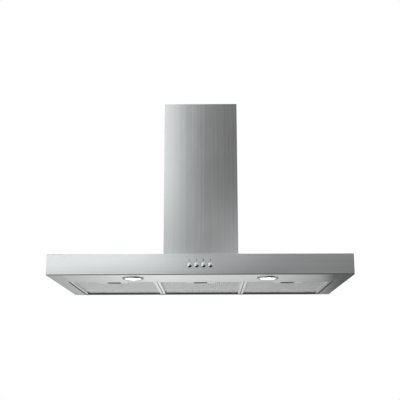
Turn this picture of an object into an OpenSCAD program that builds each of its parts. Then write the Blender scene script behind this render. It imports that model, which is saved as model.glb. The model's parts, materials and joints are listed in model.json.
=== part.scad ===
// Wall mount range hood: slim box canopy, telescopic chimney and centrifugal blower.
// Millimetres. The wall is the plane y = 0, the front faces -Y, and z = 0 is the plane
// of the canopy's underside. The origin is the middle of the lower rear edge.

/* [Canopy] */
// Width of the canopy
canopy_w = 898; // [880:1:1000]
// Depth of the canopy from the wall
canopy_d = 500; // [496:1:560]
// Height of the canopy box
canopy_h = 62; // [58:1:90]
// Thickness of the canopy sheet
canopy_t = 1; // [0.8:0.1:1.2]
// Outer bend radius along the front panel
edge_r = 2.5; // [2:0.5:4]
// Outer bend radius between the top and the sides
side_r = 2; // [1.5:0.5:4]
// Depth of the front panel's upper return
top_return = 20; // [14:1:30]
// Depth of the front panel's lower return
low_return = 8; // [6:1:12]
// Width of the flange that the front panel is fixed to
front_flange = 15; // [10:1:25]
// Depth of the zone in front of the filters, which the lamp panel covers
lamp_zone_l = 155; // [144:1:194]
// Overlap of two sheets in a lap joint
lap = 6; // [4:1:12]
// Open seam between neighbouring sheets
seam = 0.6; // [0.3:0.1:1.2]
// Depth of the hem under the rear wall
rear_hem = 3; // [2:0.5:3.5]
// Width of the strip beside the filters
side_strip_w = 40.5; // [38:0.5:80]
// Height of the upstand beside the filters
upstand_h = 10; // [6:1:11]
// Distance between the two lower wall fixings
low_fix_pitch = 300; // [200:10:400]
// Height of the lower wall fixings
low_fix_z = 34; // [30:1:40]
// Diameter of the lower wall fixing holes
low_fix_d = 6; // [5:0.5:7]

/* [Filters] */
// Height of a filter frame
filter_h = 12; // [11.5:0.5:14]
// Thickness of the filter frame sheet
filter_t = 0.8; // [0.6:0.1:1]
// Corner radius of a filter frame
filter_r = 3; // [1.5:0.5:8]
// Width of the rim that shows below
rim_w = 8; // [4:0.5:10]
// Height of the rim's inner wall, which carries the mesh
rim_h = 6; // [4:0.5:7]
// Thickness of the mesh layers
mesh_t = 0.8; // [0.5:0.1:1]
// Number of pleats across a filter
pleat_count = 20; // [8:1:24]
// Gap between two filters
filter_gap = 2; // [1:0.5:4]
// Gap between the outer filters and the canopy
field_gap = 3; // [1:0.5:4]
// Gap between the filters and the lamp panel
front_gap = 1.5; // [1:0.5:4]
// Distance from the wall to the filter hinge
hinge_y = 10; // [9.5:0.5:12]
// Height of the filter hinge
hinge_z = 6; // [5.5:0.5:7]
// Distance from the hinge to the back of the filter
hinge_back = 4.5; // [4:0.5:5]
// Diameter of the bead that a filter turns on
bead_d = 4; // [3:0.5:4]
// Length of a bead
bead_l = 24; // [16:1:40]
// Distance between the two beads of a filter
bead_pitch = 180; // [100:5:210]
// Width of a hinge clip
clip_w = 16; // [8:1:16]
// Height of the hinge rail
rail_h = 25; // [15:1:40]

/* [Filter latches] */
// Width of a latch cup
cup_w = 86; // [70:1:110]
// Length of a latch cup, front to back
cup_l = 31; // [30:1:40]
// Width of the finger recess
recess_w = 42; // [36:1:50]
// Length of the finger recess
recess_l = 25; // [25:1:26]
// Width of the latch bolt's plate
bolt_plate_w = 50; // [46:1:56]
// Length of the latch bolt's plate
bolt_plate_l = 15; // [12:1:16]
// Width of the latch bolt's tongue
tongue_w = 28; // [16:1:32]
// Thickness of the latch bolt
bolt_t = 1.6; // [1.2:0.1:2]
// Width of the grip that a finger pulls
grip_w = 36; // [24:1:40]
// Thickness of the grip
grip_t = 2; // [1.5:0.1:3]
// Travel of the latch bolt
latch_travel = 6; // [3:0.5:6]
// Clearance round the sliding latch bolt
latch_fit = 0.3; // [0.2:0.05:0.5]

/* [Lamps] */
// Distance from the middle to each lamp
lamp_x = 202; // [120:1:300]
// Distance from the front panel to the lamp centres
lamp_back = 77; // [50:1:90]
// Outer diameter of a lamp bezel
bezel_d = 64; // [58:1:76]
// Height of a bezel below the lamp panel
bezel_h = 3; // [2.5:0.5:6]
// Wall of the bezel and of its sleeve
bezel_t = 2; // [1.5:0.1:2.5]
// Width of the bezel's flange beyond its sleeve
bezel_lip = 3; // [2:0.5:5]
// Height of a lamp housing above the lamp panel
lamp_h = 38; // [34:1:44]
// Thickness of the lamp glass
glass_t = 2; // [1.5:0.5:3]

/* [Buttons] */
// Distance between neighbouring buttons
button_pitch = 20.2; // [18:0.1:26]
// Height of the button centres
button_z = 28.6; // [24:0.1:34]
// Diameter of a button cap
button_d = 14.4; // [10:0.1:15]
// How far a button's dome stands out of the front panel
button_out = 5; // [4.5:0.1:7]
// Travel of a button
button_travel = 3.5; // [2:0.1:3.5]
// Height of the dome's cap
dome_h = 3.6; // [2.5:0.1:4.4]
// Gap round a button in the front panel
button_gap = 0.5; // [0.4:0.05:1]
// Diameter of a button's stem
stem_d = 5; // [4:0.1:6]
// Height of the switch block
switch_h = 22; // [20:0.5:26]
// Depth of the switch block
switch_depth = 18; // [14:1:26]

/* [Chimney] */
// Width of the lower chimney
chimney_w = 246; // [240:1:300]
// Depth of the lower chimney
chimney_d = 238; // [234:1:300]
// Height of the hood with the chimney pushed in
hood_h = 625; // [560:1:760]
// Thickness of the chimney sheet
chimney_t = 0.8; // [0.6:0.1:1]
// Gap between the lower and the upper chimney
slide_gap = 0.7; // [0.4:0.1:1.2]
// Outer bend radius of the chimney's corners
chimney_r = 2; // [1.5:0.5:4]
// Height of the upper chimney's lower end above the canopy, pushed in
upper_rise = 41; // [36:1:160]
// Distance of the upper chimney's top below the lower one's
upper_drop = 2; // [0:1:10]
// Width of the folded edges at the wall
wall_edge = 10; // [6:1:10]
// Width of the feet that stand on the canopy
foot_w = 9; // [7:1:9]
// Number of vent slots on each side of the upper chimney
vent_count = 7; // [3:1:10]
// Length of a vent slot
vent_l = 90; // [50:1:140]
// Height of a vent slot
vent_h = 4; // [2:0.5:6]
// Distance between vent slots
vent_pitch = 12; // [8:0.5:16]
// Distance from the upper chimney's top to its first vent slot
vent_top = 60; // [50:1:90]

/* [Blower] */
// Space between the casing's sides and the outside of the chimney
casing_side_gap = 15; // [14:1:18]
// Space between the casing's front and the outside of the chimney
casing_front_gap = 13; // [11:1:15]
// Height of the blower casing
casing_h = 205; // [200:1:240]
// Thickness of the casing sheet
casing_t = 1; // [0.8:0.1:1.2]
// Distance from the wall to the casing
casing_gap = 3; // [3:0.5:4]
// Width of the casing's inner base flange
casing_flange = 12; // [8:1:14]
// Distance from the casing's front to the fan shaft
fan_front = 81; // [79:1:83]
// Height of the fan shaft above the canopy
fan_up = 100; // [96:1:110]
// Smallest inner radius of the scroll, at its tongue
scroll_r0 = 66; // [64:0.5:68]
// Largest inner radius of the scroll, at its outlet
scroll_r1 = 92; // [88:0.5:93]
// Angle of the scroll's tongue
tongue_a = 70; // [66:1:72]
// Inner width of the scroll
scroll_w = 128; // [120:1:132]
// Wall of the scroll
scroll_t = 1.5; // [1.2:0.1:2.5]
// Diameter of each air inlet
inlet_d = 104; // [96:1:110]
// Depth of the rounded lip round an inlet
inlet_lip = 6; // [3:0.5:6]
// Outer diameter of the impeller
fan_d = 120; // [112:1:124]
// Width of the impeller
fan_w = 110; // [100:1:112]
// Radial depth of the blade ring
blade_depth = 9; // [6:0.5:12]
// Number of blades
blade_count = 36; // [16:1:40]
// Thickness of a blade
blade_t = 0.9; // [0.6:0.1:1.2]
// How far a blade's tip leans forward of its root
blade_sweep = 8; // [2:0.5:10]
// Diameter of the motor
motor_d = 72; // [60:1:76]
// Length of the motor
motor_l = 62; // [50:1:63]
// Diameter of the motor shaft
shaft_d = 8; // [6:0.5:10]
// Radial running gap round the shaft
shaft_gap = 0.1; // [0.05:0.01:0.1]

/* [Outlet] */
// Outer diameter of the duct collar
collar_d = 149; // [145:0.5:151]
// Height of the duct collar above the casing
collar_h = 60; // [56:1:80]
// Wall of the duct collar
collar_t = 1.8; // [1.5:0.1:2.5]
// Diameter of the collar's base flange
collar_flange_d = 178; // [172:1:184]
// Height of the flap pin above the casing
flap_z = 26; // [20:1:30]
// Thickness of a flap
flap_t = 1.2; // [1:0.1:2]
// Diameter of the flap pin
pin_d = 4; // [3:0.5:5]
// Gap between the flaps and the collar
flap_gap = 1; // [0.6:0.1:2]
// Width of the ledge that the flaps rest on
ledge_w = 5; // [3:0.5:8]

/* [Wall fixings] */
// Distance between the two wall hooks
hook_pitch = 160; // [120:1:180]
// Width of a wall hook
hook_w = 24; // [20:1:30]
// Thickness of a wall hook
hook_t = 2.5; // [2:0.1:2.5]
// Height of a wall hook's plate
hook_h = 74; // [70:1:90]
// Height of the seat of a wall hook
hook_z = 214; // [200:1:220]
// Diameter of the holes for wall screws
wall_hole_d = 6; // [5:0.5:8]
// Distance between the two holes of a wall hook
hook_hole_pitch = 52; // [48:1:60]
// Width of the upper bracket's plate
bracket_w = 200; // [160:1:208]
// Height of the upper bracket
bracket_h = 30; // [20:1:40]
// Thickness of the upper bracket
bracket_t = 2; // [1.5:0.1:2.5]
// Distance between the holes of the upper bracket
bracket_pitch = 120; // [80:1:140]

/* [Hidden] */
$fn = 64;

// Canopy
half_w = canopy_w / 2;
front_in = -canopy_d + canopy_t;
low_edge_y = -canopy_d + low_return + seam;
top_in = canopy_h - canopy_t;
top_y0 = -canopy_d + top_return + seam;

// Filter field
strip_x = half_w - side_strip_w;
filter_w = (2 * (strip_x - field_gap) - 2 * filter_gap) / 3;
filter_pitch = filter_w + filter_gap;
filter_y1 = -hinge_y - hinge_back;
panel_y1 = -canopy_d + lamp_zone_l;
filter_y0 = panel_y1 + front_gap;
filter_l = filter_y1 - filter_y0;
filter_yc = (filter_y0 + filter_y1) / 2;
panel_half = strip_x - seam;
panel_flange_h = 15;
mesh_fit = 0.2;
inner_r = 0.5;
bead_fit = 0.1;
clip_t = 1;
neck_t = 1.5;
clip_mouth_a0 = 148;
clip_mouth_a1 = 285;

// Latches, with y counted from the front of the cup
cup_y0 = filter_y0 + rim_w;
cup_h = filter_h - filter_t;
cup_wall = 3;
cup_roof = 1.3;
bolt_z1 = cup_h - cup_roof - latch_fit;
bolt_z0 = bolt_z1 - bolt_t;
bolt_y0 = cup_y0 + cup_wall + latch_fit + latch_travel;
bolt_y1 = bolt_y0 + bolt_plate_l;
grip_z0 = 1;
slot_gap = 1;

// Lamps
sleeve_r = bezel_d / 2 - bezel_lip;
sleeve_h = 14;
lamp_hole_r = sleeve_r + 0.3;
housing_t = 0.8;
housing_lip = 6;
bezel_chamfer = 1;
glass_fit = 0.1;
glass_set = 1;
bulb_r = 17;
bulb_cap_r = 9;
bulb_cap_h = 10;
socket_vents = 8;

// Buttons and switch block
guide_gap = 0.3;
stem_gap = 0.1;
guide_t = 1.6;
frame_t = 2;
frame_margin = 4;
skirt_l = 7;
stem_l = 15;
button_face_y = -canopy_d - button_out;
skirt_end_y = button_face_y + dome_h + skirt_l;
switch_y0 = skirt_end_y + button_travel + button_gap;
frame_y = switch_y0 - frame_t;
switch_w = 3 * button_pitch + button_d + 2 * frame_margin;

// Chimney
half_chimney = chimney_w / 2;
lower_in = half_chimney - chimney_t;
upper_out = lower_in - slide_gap;
upper_in = upper_out - chimney_t;
wall_gap = 1;
upper_wall_gap = wall_gap + chimney_t + slide_gap;
upper_front = chimney_d - chimney_t - slide_gap;
upper_z1 = hood_h - upper_drop;
upper_z0 = canopy_h + upper_rise;

// Blower
casing_w = chimney_w - 2 * casing_side_gap;
casing_y1 = -casing_gap;
casing_y0 = -chimney_d + casing_front_gap;
casing_z1 = canopy_h + casing_h;
fan_y = -casing_y0 - fan_front;
fan_z = canopy_h + fan_up;
scroll_steps = 40;
tongue_u = scroll_r0 * cos(tongue_a);
tongue_v = scroll_r0 * sin(tongue_a);
tongue_nose_r = 2.5;
scroll_top = casing_z1 - casing_t - fan_z;
mouth_u = (tongue_u + scroll_r1) / 2;
outlet_y = -fan_y + mouth_u;
scroll_flange_t = 2;
outlet_r = collar_d / 2 - collar_t;
scroll_flange_r = outlet_r + 6;
blade_r1 = fan_d / 2;
blade_r0 = blade_r1 - blade_depth;
blade_steps = 4;
fan_disc_t = 2;
fan_ring_t = 2.5;
fan_ring_w = 5;
fan_ring_lip = 0.6;
hub_d = 26;
hub_l = 15;
hub_gap = 3;
motor_x1 = -fan_disc_t / 2 - hub_gap;
motor_x0 = motor_x1 - motor_l;
motor_boss_d = 22;
motor_boss_l = 2;
motor_fin_t = 2;
motor_fins = 5;
shaft_tail = 6;
grommet_d = 14;
grommet_l = 3;
grommet_r = inlet_d / 2 + grommet_d / 2 + 1;
scroll_side = scroll_w / 2 + scroll_t;
spider_x = -scroll_side - grommet_l;
spider_t = 1.5;
spider_w = 12;
spider_ring = 8;

// Outlet
flap_pin_z = casing_z1 + flap_z;
collar_base_t = 2;
flap_r = outlet_r - flap_gap;
knuckle_r = pin_d / 2 + 1.4;
knuckle_l = 28;
knuckle_pitch = 31;
pin_gap = 0.08;
flap_clear = 0.5;
ledge_drop = 0.3;
ledge_t = 2;

// Driver of the lamps
driver_x = 60;
driver_w = 96;
driver_d = 42;
driver_h = 26;
driver_r = 3;
driver_ear = 8;

// Parts on the blower casing
box_w = 110;
box_d = 34;
box_h = 42;
box_x = -25;
box_y = casing_y0 + 4;
box_r = 4;
box_lid_t = 3;
box_lid_lip = 1;
gland_d = 18;
gland_nut_l = 6;
gland_l = 14;
gland_bore_d = 8;
capacitor_d = 28;
capacitor_h = 46;
capacitor_inset = 40;
capacitor_x = casing_w / 2 - capacitor_inset;
capacitor_neck = 4;

// Wall fixings
hook_lip = 14;
hook_slot_gap = 3;
hook_slot_h = 24;
hook_trough = 3;
bracket_z1 = upper_z1 - 8;
bracket_ear = 34;
screw_d = 4;
screw_head_d = 7;
screw_head_h = 2.2;
screw_l = 6;
screw_fit = 0.1;
bracket_screw_l = bracket_t + chimney_t;

module block(a, b) {
  translate(a)
    cube(b - a);
}

// Extrudes an outline, drawn with x to the wall and y up, from x0 on along X
module along_x(x0, length) {
  translate([x0, 0, 0])
    rotate([90, 0, 90])
      linear_extrude(length)
        children();
}

// A cylinder along Y from y0 to y1
module rod_y(x, z, y0, y1, r) {
  translate([x, y0, z])
    rotate([-90, 0, 0])
      cylinder(h = y1 - y0, r = r);
}

// A cylinder along X from x0 to x1
module rod_x(y, z, x0, x1, r) {
  translate([x0, y, z])
    rotate([0, 90, 0])
      cylinder(h = x1 - x0, r = r);
}

module rounded_rect(w, d, r) {
  square([w - 2 * r, d], center = true);
  square([w, d - 2 * r], center = true);
  for (sx = [-1, 1], sy = [-1, 1])
    translate([sx * (w / 2 - r), sy * (d / 2 - r)])
      circle(r);
}

module screw_hole() {
  cylinder(h = 2 * screw_l, d = screw_d + screw_fit, center = true);
}

// A pan head screw that points along -Z, with the underside of its head at z = 0
module screw(length) {
  translate([0, 0, -length])
    cylinder(h = length, d = screw_d);
  difference() {
    intersection() {
      cylinder(h = screw_head_h, d = screw_head_d);
      translate([0, 0, screw_head_h - screw_head_d * 0.75])
        sphere(d = screw_head_d * 1.5);
    }
    translate([0, 0, screw_head_h / 2])
      for (a = [0, 90])
        rotate([0, 0, a])
          translate([-screw_head_d / 4, -screw_head_d / 16, 0])
            cube([screw_head_d / 2, screw_head_d / 8, screw_head_h]);
  }
}

// Canopy

// Sides, top, rear wall and the strips beside the filters, all in one folded sheet
module canopy_shell() {
  color("silver")
    difference() {
      union() {
        shell_box();
        block([-half_w + canopy_t, -canopy_d + edge_r, top_in - canopy_t],
              [half_w - canopy_t, top_y0 + lap, top_in]);
        block([-strip_x, -canopy_t - rear_hem, 0], [strip_x, 0, canopy_t]);
        for (s = [-1, 1])
          scale([s, 1, 1])
            canopy_side();
      }
      air_opening();
      for (s = [-1, 1])
        rod_y(s * low_fix_pitch / 2, low_fix_z, -2 * canopy_t, canopy_t, low_fix_d / 2);
      place_casing_screws()
        screw_hole();
      place_chimney_screws()
        screw_hole();
    }
}

// Top, sides and rear wall behind the front panel's return
module shell_box() {
  rotate([90, 0, 0])
    difference() {
      linear_extrude(-top_y0)
        shell_outline(0);
      translate([0, 0, canopy_t])
        linear_extrude(-top_y0)
          shell_outline(canopy_t);
    }
}

// The canopy seen from the front, with its two upper corners round
module shell_outline(inset) {
  translate([-half_w + inset, canopy_h - inset])
    rotate(-90)
      rounded_front(canopy_h, canopy_w - 2 * inset, side_r - inset);
}

module canopy_side() {
  block([half_w - canopy_t, -canopy_d + edge_r, canopy_t], [half_w, top_y0, top_in]);
  block([half_w - front_flange, front_in, edge_r],
        [half_w, front_in + canopy_t, canopy_h - edge_r]);
  block([half_w - canopy_t, front_in, edge_r], [half_w, -canopy_d + 2 * edge_r, canopy_h - edge_r]);
  block([strip_x, low_edge_y, 0], [half_w, 0, canopy_t]);
  block([strip_x, panel_y1, 0], [strip_x + canopy_t, 0, upstand_h]);
}

module air_opening() {
  inner_x = casing_w / 2 - casing_flange;
  block([-inner_x, casing_y0 + casing_flange, top_in - canopy_t],
        [inner_x, casing_y1 - casing_flange, canopy_h + canopy_t]);
}

// Sheet folded at the top and bottom, with holes for the buttons
module front_panel() {
  color("lightgray")
    difference() {
      translate([0, -canopy_d, 0])
        along_x(-half_w, canopy_w)
          panel_profile();
      for (i = [0 : 3])
        rod_y(button_x(i), button_z, -canopy_d - canopy_t, front_in + canopy_t,
              button_d / 2 + button_gap);
    }
}

module panel_profile() {
  difference() {
    rounded_front(top_return, canopy_h, edge_r);
    translate([canopy_t, canopy_t])
      rounded_front(top_return, canopy_h - 2 * canopy_t, edge_r - canopy_t);
    translate([low_return, -canopy_t])
      square([top_return, canopy_h / 2]);
  }
}

// A rectangle whose two corners at x = 0 are round
module rounded_front(d, h, r) {
  translate([r, 0])
    square([d - r, h]);
  translate([0, r])
    square([2 * r, h - 2 * r]);
  for (y = [r, h - r])
    translate([r, y])
      circle(r);
}

// Underside in front of the filters, lapped over the returns of its neighbours
module lamp_panel() {
  color("lightgray")
    difference() {
      union() {
        block([-panel_half, low_edge_y, 0], [panel_half, panel_y1, canopy_t]);
        block([-panel_half, -canopy_d + edge_r, canopy_t],
              [panel_half, low_edge_y + lap, 2 * canopy_t]);
        block([-panel_half, panel_y1 - canopy_t, 0], [panel_half, panel_y1, panel_flange_h]);
        for (s = [-1, 1])
          scale([s, 1, 1])
            block([panel_half - lap, low_edge_y, canopy_t],
                  [strip_x + lap, panel_y1 - canopy_t, 2 * canopy_t]);
      }
      for (s = [-1, 1])
        translate([s * lamp_x, -canopy_d + lamp_back, -canopy_t])
          cylinder(h = 3 * canopy_t, r = lamp_hole_r);
      for (k = [-1 : 1])
        translate([k * filter_pitch, 0, 0])
          block([-tongue_w / 2 - slot_gap, panel_y1 - 2 * canopy_t, bolt_z0 - slot_gap],
                [tongue_w / 2 + slot_gap, panel_y1 + canopy_t, bolt_z1 + slot_gap]);
    }
}

// Angle on the rear wall with the clips that the filters snap into
module hinge_rail() {
  color("gainsboro") {
    block([-strip_x + seam, -2 * canopy_t, canopy_t], [strip_x - seam, -canopy_t, rail_h]);
    for (k = [-1 : 1], s = [-1, 1])
      along_x(k * filter_pitch + s * bead_pitch / 2 - clip_w / 2, clip_w)
        clip_profile();
  }
}

module clip_profile() {
  clip_r0 = bead_d / 2 + bead_fit;
  clip_r1 = clip_r0 + clip_t;
  reach = 2 * clip_r1;
  translate([-hinge_y, hinge_z])
    difference() {
      circle(clip_r1);
      circle(clip_r0);
      polygon([
        [0, 0],
        reach * [cos(clip_mouth_a0), sin(clip_mouth_a0)],
        reach * [-1, -1],
        reach * [cos(clip_mouth_a1), sin(clip_mouth_a1)]
      ]);
    }
  translate([-hinge_y, hinge_z + clip_r0])
    square([hinge_y - canopy_t, clip_t]);
}

// Filters, with k = -1, 0 or 1 from left to right

// A flat ring of the filter's outline between two distances from its edge
module filter_ring(inset0, inset1, z0, z1) {
  translate([0, filter_yc, z0])
    linear_extrude(z1 - z0)
      difference() {
        filter_outline(inset0);
        filter_outline(inset1);
      }
}

module filter_outline(inset) {
  rounded_rect(filter_w - 2 * inset, filter_l - 2 * inset, max(filter_r - inset, inner_r));
}

module filter_frame(k) {
  color("silver")
    translate([k * filter_pitch, 0, 0]) {
      difference() {
        union() {
          filter_ring(0, rim_w, 0, filter_t);
          filter_ring(0, filter_t, 0, filter_h);
          filter_ring(rim_w - filter_t, rim_w, 0, rim_h);
          filter_ring(0, rim_w, filter_h - filter_t, filter_h);
        }
        block([-tongue_w / 2 - latch_fit, filter_y0 - filter_t, bolt_z0 - latch_fit],
              [tongue_w / 2 + latch_fit, filter_y0 + 2 * filter_t, bolt_z1 + latch_fit]);
      }
      for (s = [-1, 1])
        filter_bead(s * bead_pitch / 2 - bead_l / 2);
    }
}

// Bead on a flat neck, which turns in a clip of the hinge rail
module filter_bead(x0) {
  rod_x(-hinge_y, hinge_z, x0, x0 + bead_l, bead_d / 2);
  block([x0, filter_y1 - filter_t, hinge_z - neck_t / 2],
        [x0 + bead_l, -hinge_y, hinge_z + neck_t / 2]);
}

// Facing of expanded metal with a pleated layer behind it, let in round the latch cup
module filter_mesh(k) {
  color("darkgray")
    translate([k * filter_pitch, 0, 0])
      difference() {
        union() {
          translate([0, filter_yc, rim_h])
            linear_extrude(mesh_t)
              filter_outline(filter_t + mesh_fit);
          translate([0, filter_y1 - filter_t - filter_r, 0])
            rotate([90, 0, 0])
              linear_extrude(filter_l - 2 * (filter_t + filter_r))
                pleats();
        }
        block([-cup_w / 2 - mesh_fit, filter_y0, 0],
              [cup_w / 2 + mesh_fit, cup_y0 + cup_l + mesh_fit, filter_h]);
      }
}

// A sheet folded to and fro between the facing and the frame's upper lip
module pleats() {
  w = filter_w - 2 * (filter_t + filter_r);
  z0 = rim_h + mesh_t / 2;
  z1 = cup_h - mesh_t;
  crest = [
    for (i = [0 : 2 * pleat_count])
      [w * (i / (2 * pleat_count) - 0.5), i % 2 == 0 ? z0 : z1]
  ];
  polygon(concat(
    crest,
    [for (i = [2 * pleat_count : -1 : 0]) crest[i] + [0, mesh_t]]
  ));
}

// Moulded cup with a finger recess and the channel that the bolt slides in
module latch_cup(k) {
  color("dimgray")
    translate([k * filter_pitch, 0, 0])
      difference() {
        translate([0, cup_y0 + cup_l / 2, 0])
          linear_extrude(cup_h)
            rounded_rect(cup_w, cup_l, inner_r);
        translate([0, cup_y0 + cup_wall + recess_l / 2, -canopy_t])
          linear_extrude(bolt_z0 + canopy_t)
            rounded_rect(recess_w, recess_l, filter_r);
        block([-bolt_plate_w / 2 - latch_fit, cup_y0 + cup_wall, bolt_z0 - latch_fit],
              [bolt_plate_w / 2 + latch_fit, cup_y0 + cup_wall + recess_l,
               bolt_z1 + latch_fit]);
        block([-tongue_w / 2 - latch_fit, cup_y0 - cup_wall, bolt_z0 - latch_fit],
              [tongue_w / 2 + latch_fit, cup_y0 + 2 * cup_wall, bolt_z1 + latch_fit]);
      }
}

// Sliding bolt, drawn back, with its tongue level with the front of the filter
module latch_bolt(k) {
  color("slategray")
    translate([k * filter_pitch, 0, 0]) {
      block([-bolt_plate_w / 2, bolt_y0, bolt_z0], [bolt_plate_w / 2, bolt_y1, bolt_z1]);
      block([-tongue_w / 2, filter_y0, bolt_z0], [tongue_w / 2, bolt_y0, bolt_z1]);
      block([-grip_w / 2, bolt_y1 - grip_t, grip_z0], [grip_w / 2, bolt_y1, bolt_z0]);
    }
}

// Lamps, with s = -1 on the left and 1 on the right

module at_lamp(s) {
  translate([s * lamp_x, -canopy_d + lamp_back, 0])
    children();
}

// Ring below the panel with a sleeve up through it
module lamp_bezel(s) {
  color("gainsboro")
    at_lamp(s)
      rotate_extrude()
        polygon([
          [sleeve_r - bezel_t, -bezel_h],
          [bezel_d / 2 - bezel_chamfer, -bezel_h],
          [bezel_d / 2, -bezel_h + bezel_chamfer],
          [bezel_d / 2, 0],
          [sleeve_r, 0],
          [sleeve_r, sleeve_h],
          [sleeve_r - bezel_t / 2, sleeve_h],
          [sleeve_r - bezel_t / 2, glass_t - bezel_h + glass_set],
          [sleeve_r - bezel_t / 2, glass_set - bezel_h],
          [sleeve_r - bezel_t, glass_set - bezel_h]
        ]);
}

// Frosted disc that lies on the bezel's inner ledge
module lamp_glass(s) {
  color("white")
    at_lamp(s)
      translate([0, 0, glass_set - bezel_h])
        cylinder(h = glass_t, r = sleeve_r - bezel_t / 2 - glass_fit);
}

// Can that stands on the lamp panel, with vents in its roof
module lamp_housing(s) {
  housing_r = lamp_hole_r + housing_t;
  color("lightgray")
    at_lamp(s)
      difference() {
        rotate_extrude()
          polygon([
            [lamp_hole_r, canopy_t],
            [housing_r + housing_lip, canopy_t],
            [housing_r + housing_lip, canopy_t + housing_t],
            [housing_r, canopy_t + housing_t],
            [housing_r, lamp_h],
            [0, lamp_h],
            [0, lamp_h - housing_t],
            [lamp_hole_r, lamp_h - housing_t]
          ]);
        for (i = [0 : socket_vents - 1])
          rotate([0, 0, 360 * (i + 0.5) / socket_vents])
            translate([(bulb_r + lamp_hole_r) / 2, 0, lamp_h - 2 * housing_t])
              cylinder(h = 3 * housing_t, r = housing_t * 2);
      }
}

// Lamp with a bowl reflector, whose cap hangs from the can's roof
module lamp_bulb(s) {
  bulb_z1 = lamp_h - housing_t;
  bulb_z0 = glass_t + sleeve_h / 4;
  color("ivory")
    at_lamp(s)
      rotate_extrude()
        polygon([
          [0, bulb_z0],
          [bulb_r, bulb_z0],
          [bulb_r, bulb_z0 + glass_t],
          for (i = [1 : 6])
            let (a = 90 * i / 6)
              [bulb_cap_r + (bulb_r - bulb_cap_r) * cos(a),
               bulb_z0 + glass_t + (bulb_z1 - bulb_cap_h - bulb_z0 - glass_t) * sin(a)],
          [bulb_cap_r, bulb_z1],
          [0, bulb_z1]
        ]);
}

// Driver for the lamps, under the canopy's top sheet beside the blower
module lamp_transformer() {
  color("whitesmoke")
    translate([driver_x, -canopy_d + lamp_back, 0])
      difference() {
        union() {
          translate([0, 0, top_in - driver_h])
            linear_extrude(driver_h)
              rounded_rect(driver_w, driver_d, driver_r);
          translate([0, 0, top_in - driver_r])
            linear_extrude(driver_r)
              rounded_rect(driver_w + 4 * driver_ear, driver_d / 2, driver_ear);
        }
        for (sx = [-1, 1])
          translate([sx * (driver_w / 2 + driver_ear), 0, top_in - 2 * driver_r])
            cylinder(h = 3 * driver_r, d = screw_d);
      }
}

// Buttons, numbered from left to right

function button_x(i) = (i - 1.5) * button_pitch;

// Domed cap with a skirt and a stem that works the switch
module button(i) {
  dome_r = (pow(button_d / 2, 2) + pow(dome_h, 2)) / (2 * dome_h);
  color("gainsboro")
    translate([button_x(i), button_face_y, button_z])
      rotate([-90, 0, 0]) {
        intersection() {
          cylinder(h = dome_h, d = button_d);
          translate([0, 0, dome_r])
            sphere(r = dome_r, $fn = 128);
        }
        translate([0, 0, dome_h])
          cylinder(h = skirt_l, d = button_d);
        translate([0, 0, dome_h + skirt_l])
          cylinder(h = stem_l, d = stem_d);
      }
}

// Plate behind the front panel with a guide tube for each button
module button_frame() {
  color("darkslategray")
    difference() {
      union() {
        translate([0, frame_y, button_z])
          rotate([-90, 0, 0])
            linear_extrude(frame_t)
              rounded_rect(switch_w + 4 * frame_margin, switch_h, frame_margin);
        for (i = [0 : 3])
          rod_y(button_x(i), button_z, front_in, frame_y,
                button_d / 2 + guide_gap + guide_t);
      }
      for (i = [0 : 3])
        rod_y(button_x(i), button_z, front_in - frame_t, frame_y + 2 * frame_t,
              button_d / 2 + guide_gap);
    }
}

// Block of four switches with a bore for each stem
module switch_block() {
  color("saddlebrown")
    difference() {
      translate([0, switch_y0, button_z])
        rotate([-90, 0, 0])
          linear_extrude(switch_depth)
            rounded_rect(switch_w, switch_h - frame_margin, inner_r);
      for (i = [0 : 3])
        rod_y(button_x(i), button_z, switch_y0 - frame_t,
              skirt_end_y + stem_l + button_travel + button_gap, stem_d / 2 + stem_gap);
    }
}

// Blower

// Box that stands on the canopy and hangs on the wall hooks
module blower_casing() {
  cx = casing_w / 2;
  color("gainsboro")
    difference() {
      block([-cx, casing_y0, canopy_h], [cx, casing_y1, casing_z1]);
      block([-cx + casing_t, casing_y0 + casing_t, canopy_h + casing_t],
            [cx - casing_t, casing_y1 - casing_t, casing_z1 - casing_t]);
      block([-cx + casing_flange, casing_y0 + casing_flange, canopy_h - casing_t],
            [cx - casing_flange, casing_y1 - casing_flange, canopy_h + 2 * casing_t]);
      translate([0, outlet_y, casing_z1 - 2 * casing_t])
        cylinder(h = 3 * casing_t, r = outlet_r);
      for (s = [-1, 1])
        translate([s * hook_pitch / 2, 0, 0])
          block([-hook_w / 2 - hook_slot_gap, casing_y1 - 2 * casing_t,
                 hook_z + hook_t - hook_slot_h],
                [hook_w / 2 + hook_slot_gap, casing_y1 + casing_t, hook_z + hook_t]);
      place_casing_screws()
        screw_hole();
    }
}

function scroll_r(a) = scroll_r0 + (scroll_r1 - scroll_r0) * (a - tongue_a) / (360 - tongue_a);

// Points along the scroll, grown by a wall
function scroll_points(wall, a0) = [
  for (i = [0 : scroll_steps])
    let (a = a0 + (360 - a0) * i / scroll_steps)
      (scroll_r(a) + wall) * [cos(a), sin(a)]
];

// Air space of the scroll, drawn round the shaft, with its mouth at the top
module scroll_air() {
  polygon(concat(
    scroll_points(0, tongue_a),
    [[scroll_r1, scroll_top + scroll_t], [tongue_u, scroll_top + scroll_t]]
  ));
}

module scroll_outer() {
  polygon(concat(
    scroll_points(scroll_t, tongue_a + 3),
    [[scroll_r1 + scroll_t, scroll_top], [tongue_u - scroll_t, scroll_top]]
  ));
}

// Wall that winds round the impeller, with a round nose at the tongue
module scroll_wall() {
  difference() {
    scroll_outer();
    scroll_air();
  }
  translate([tongue_u - tongue_nose_r, tongue_v + tongue_nose_r])
    circle(tongue_nose_r);
}

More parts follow.
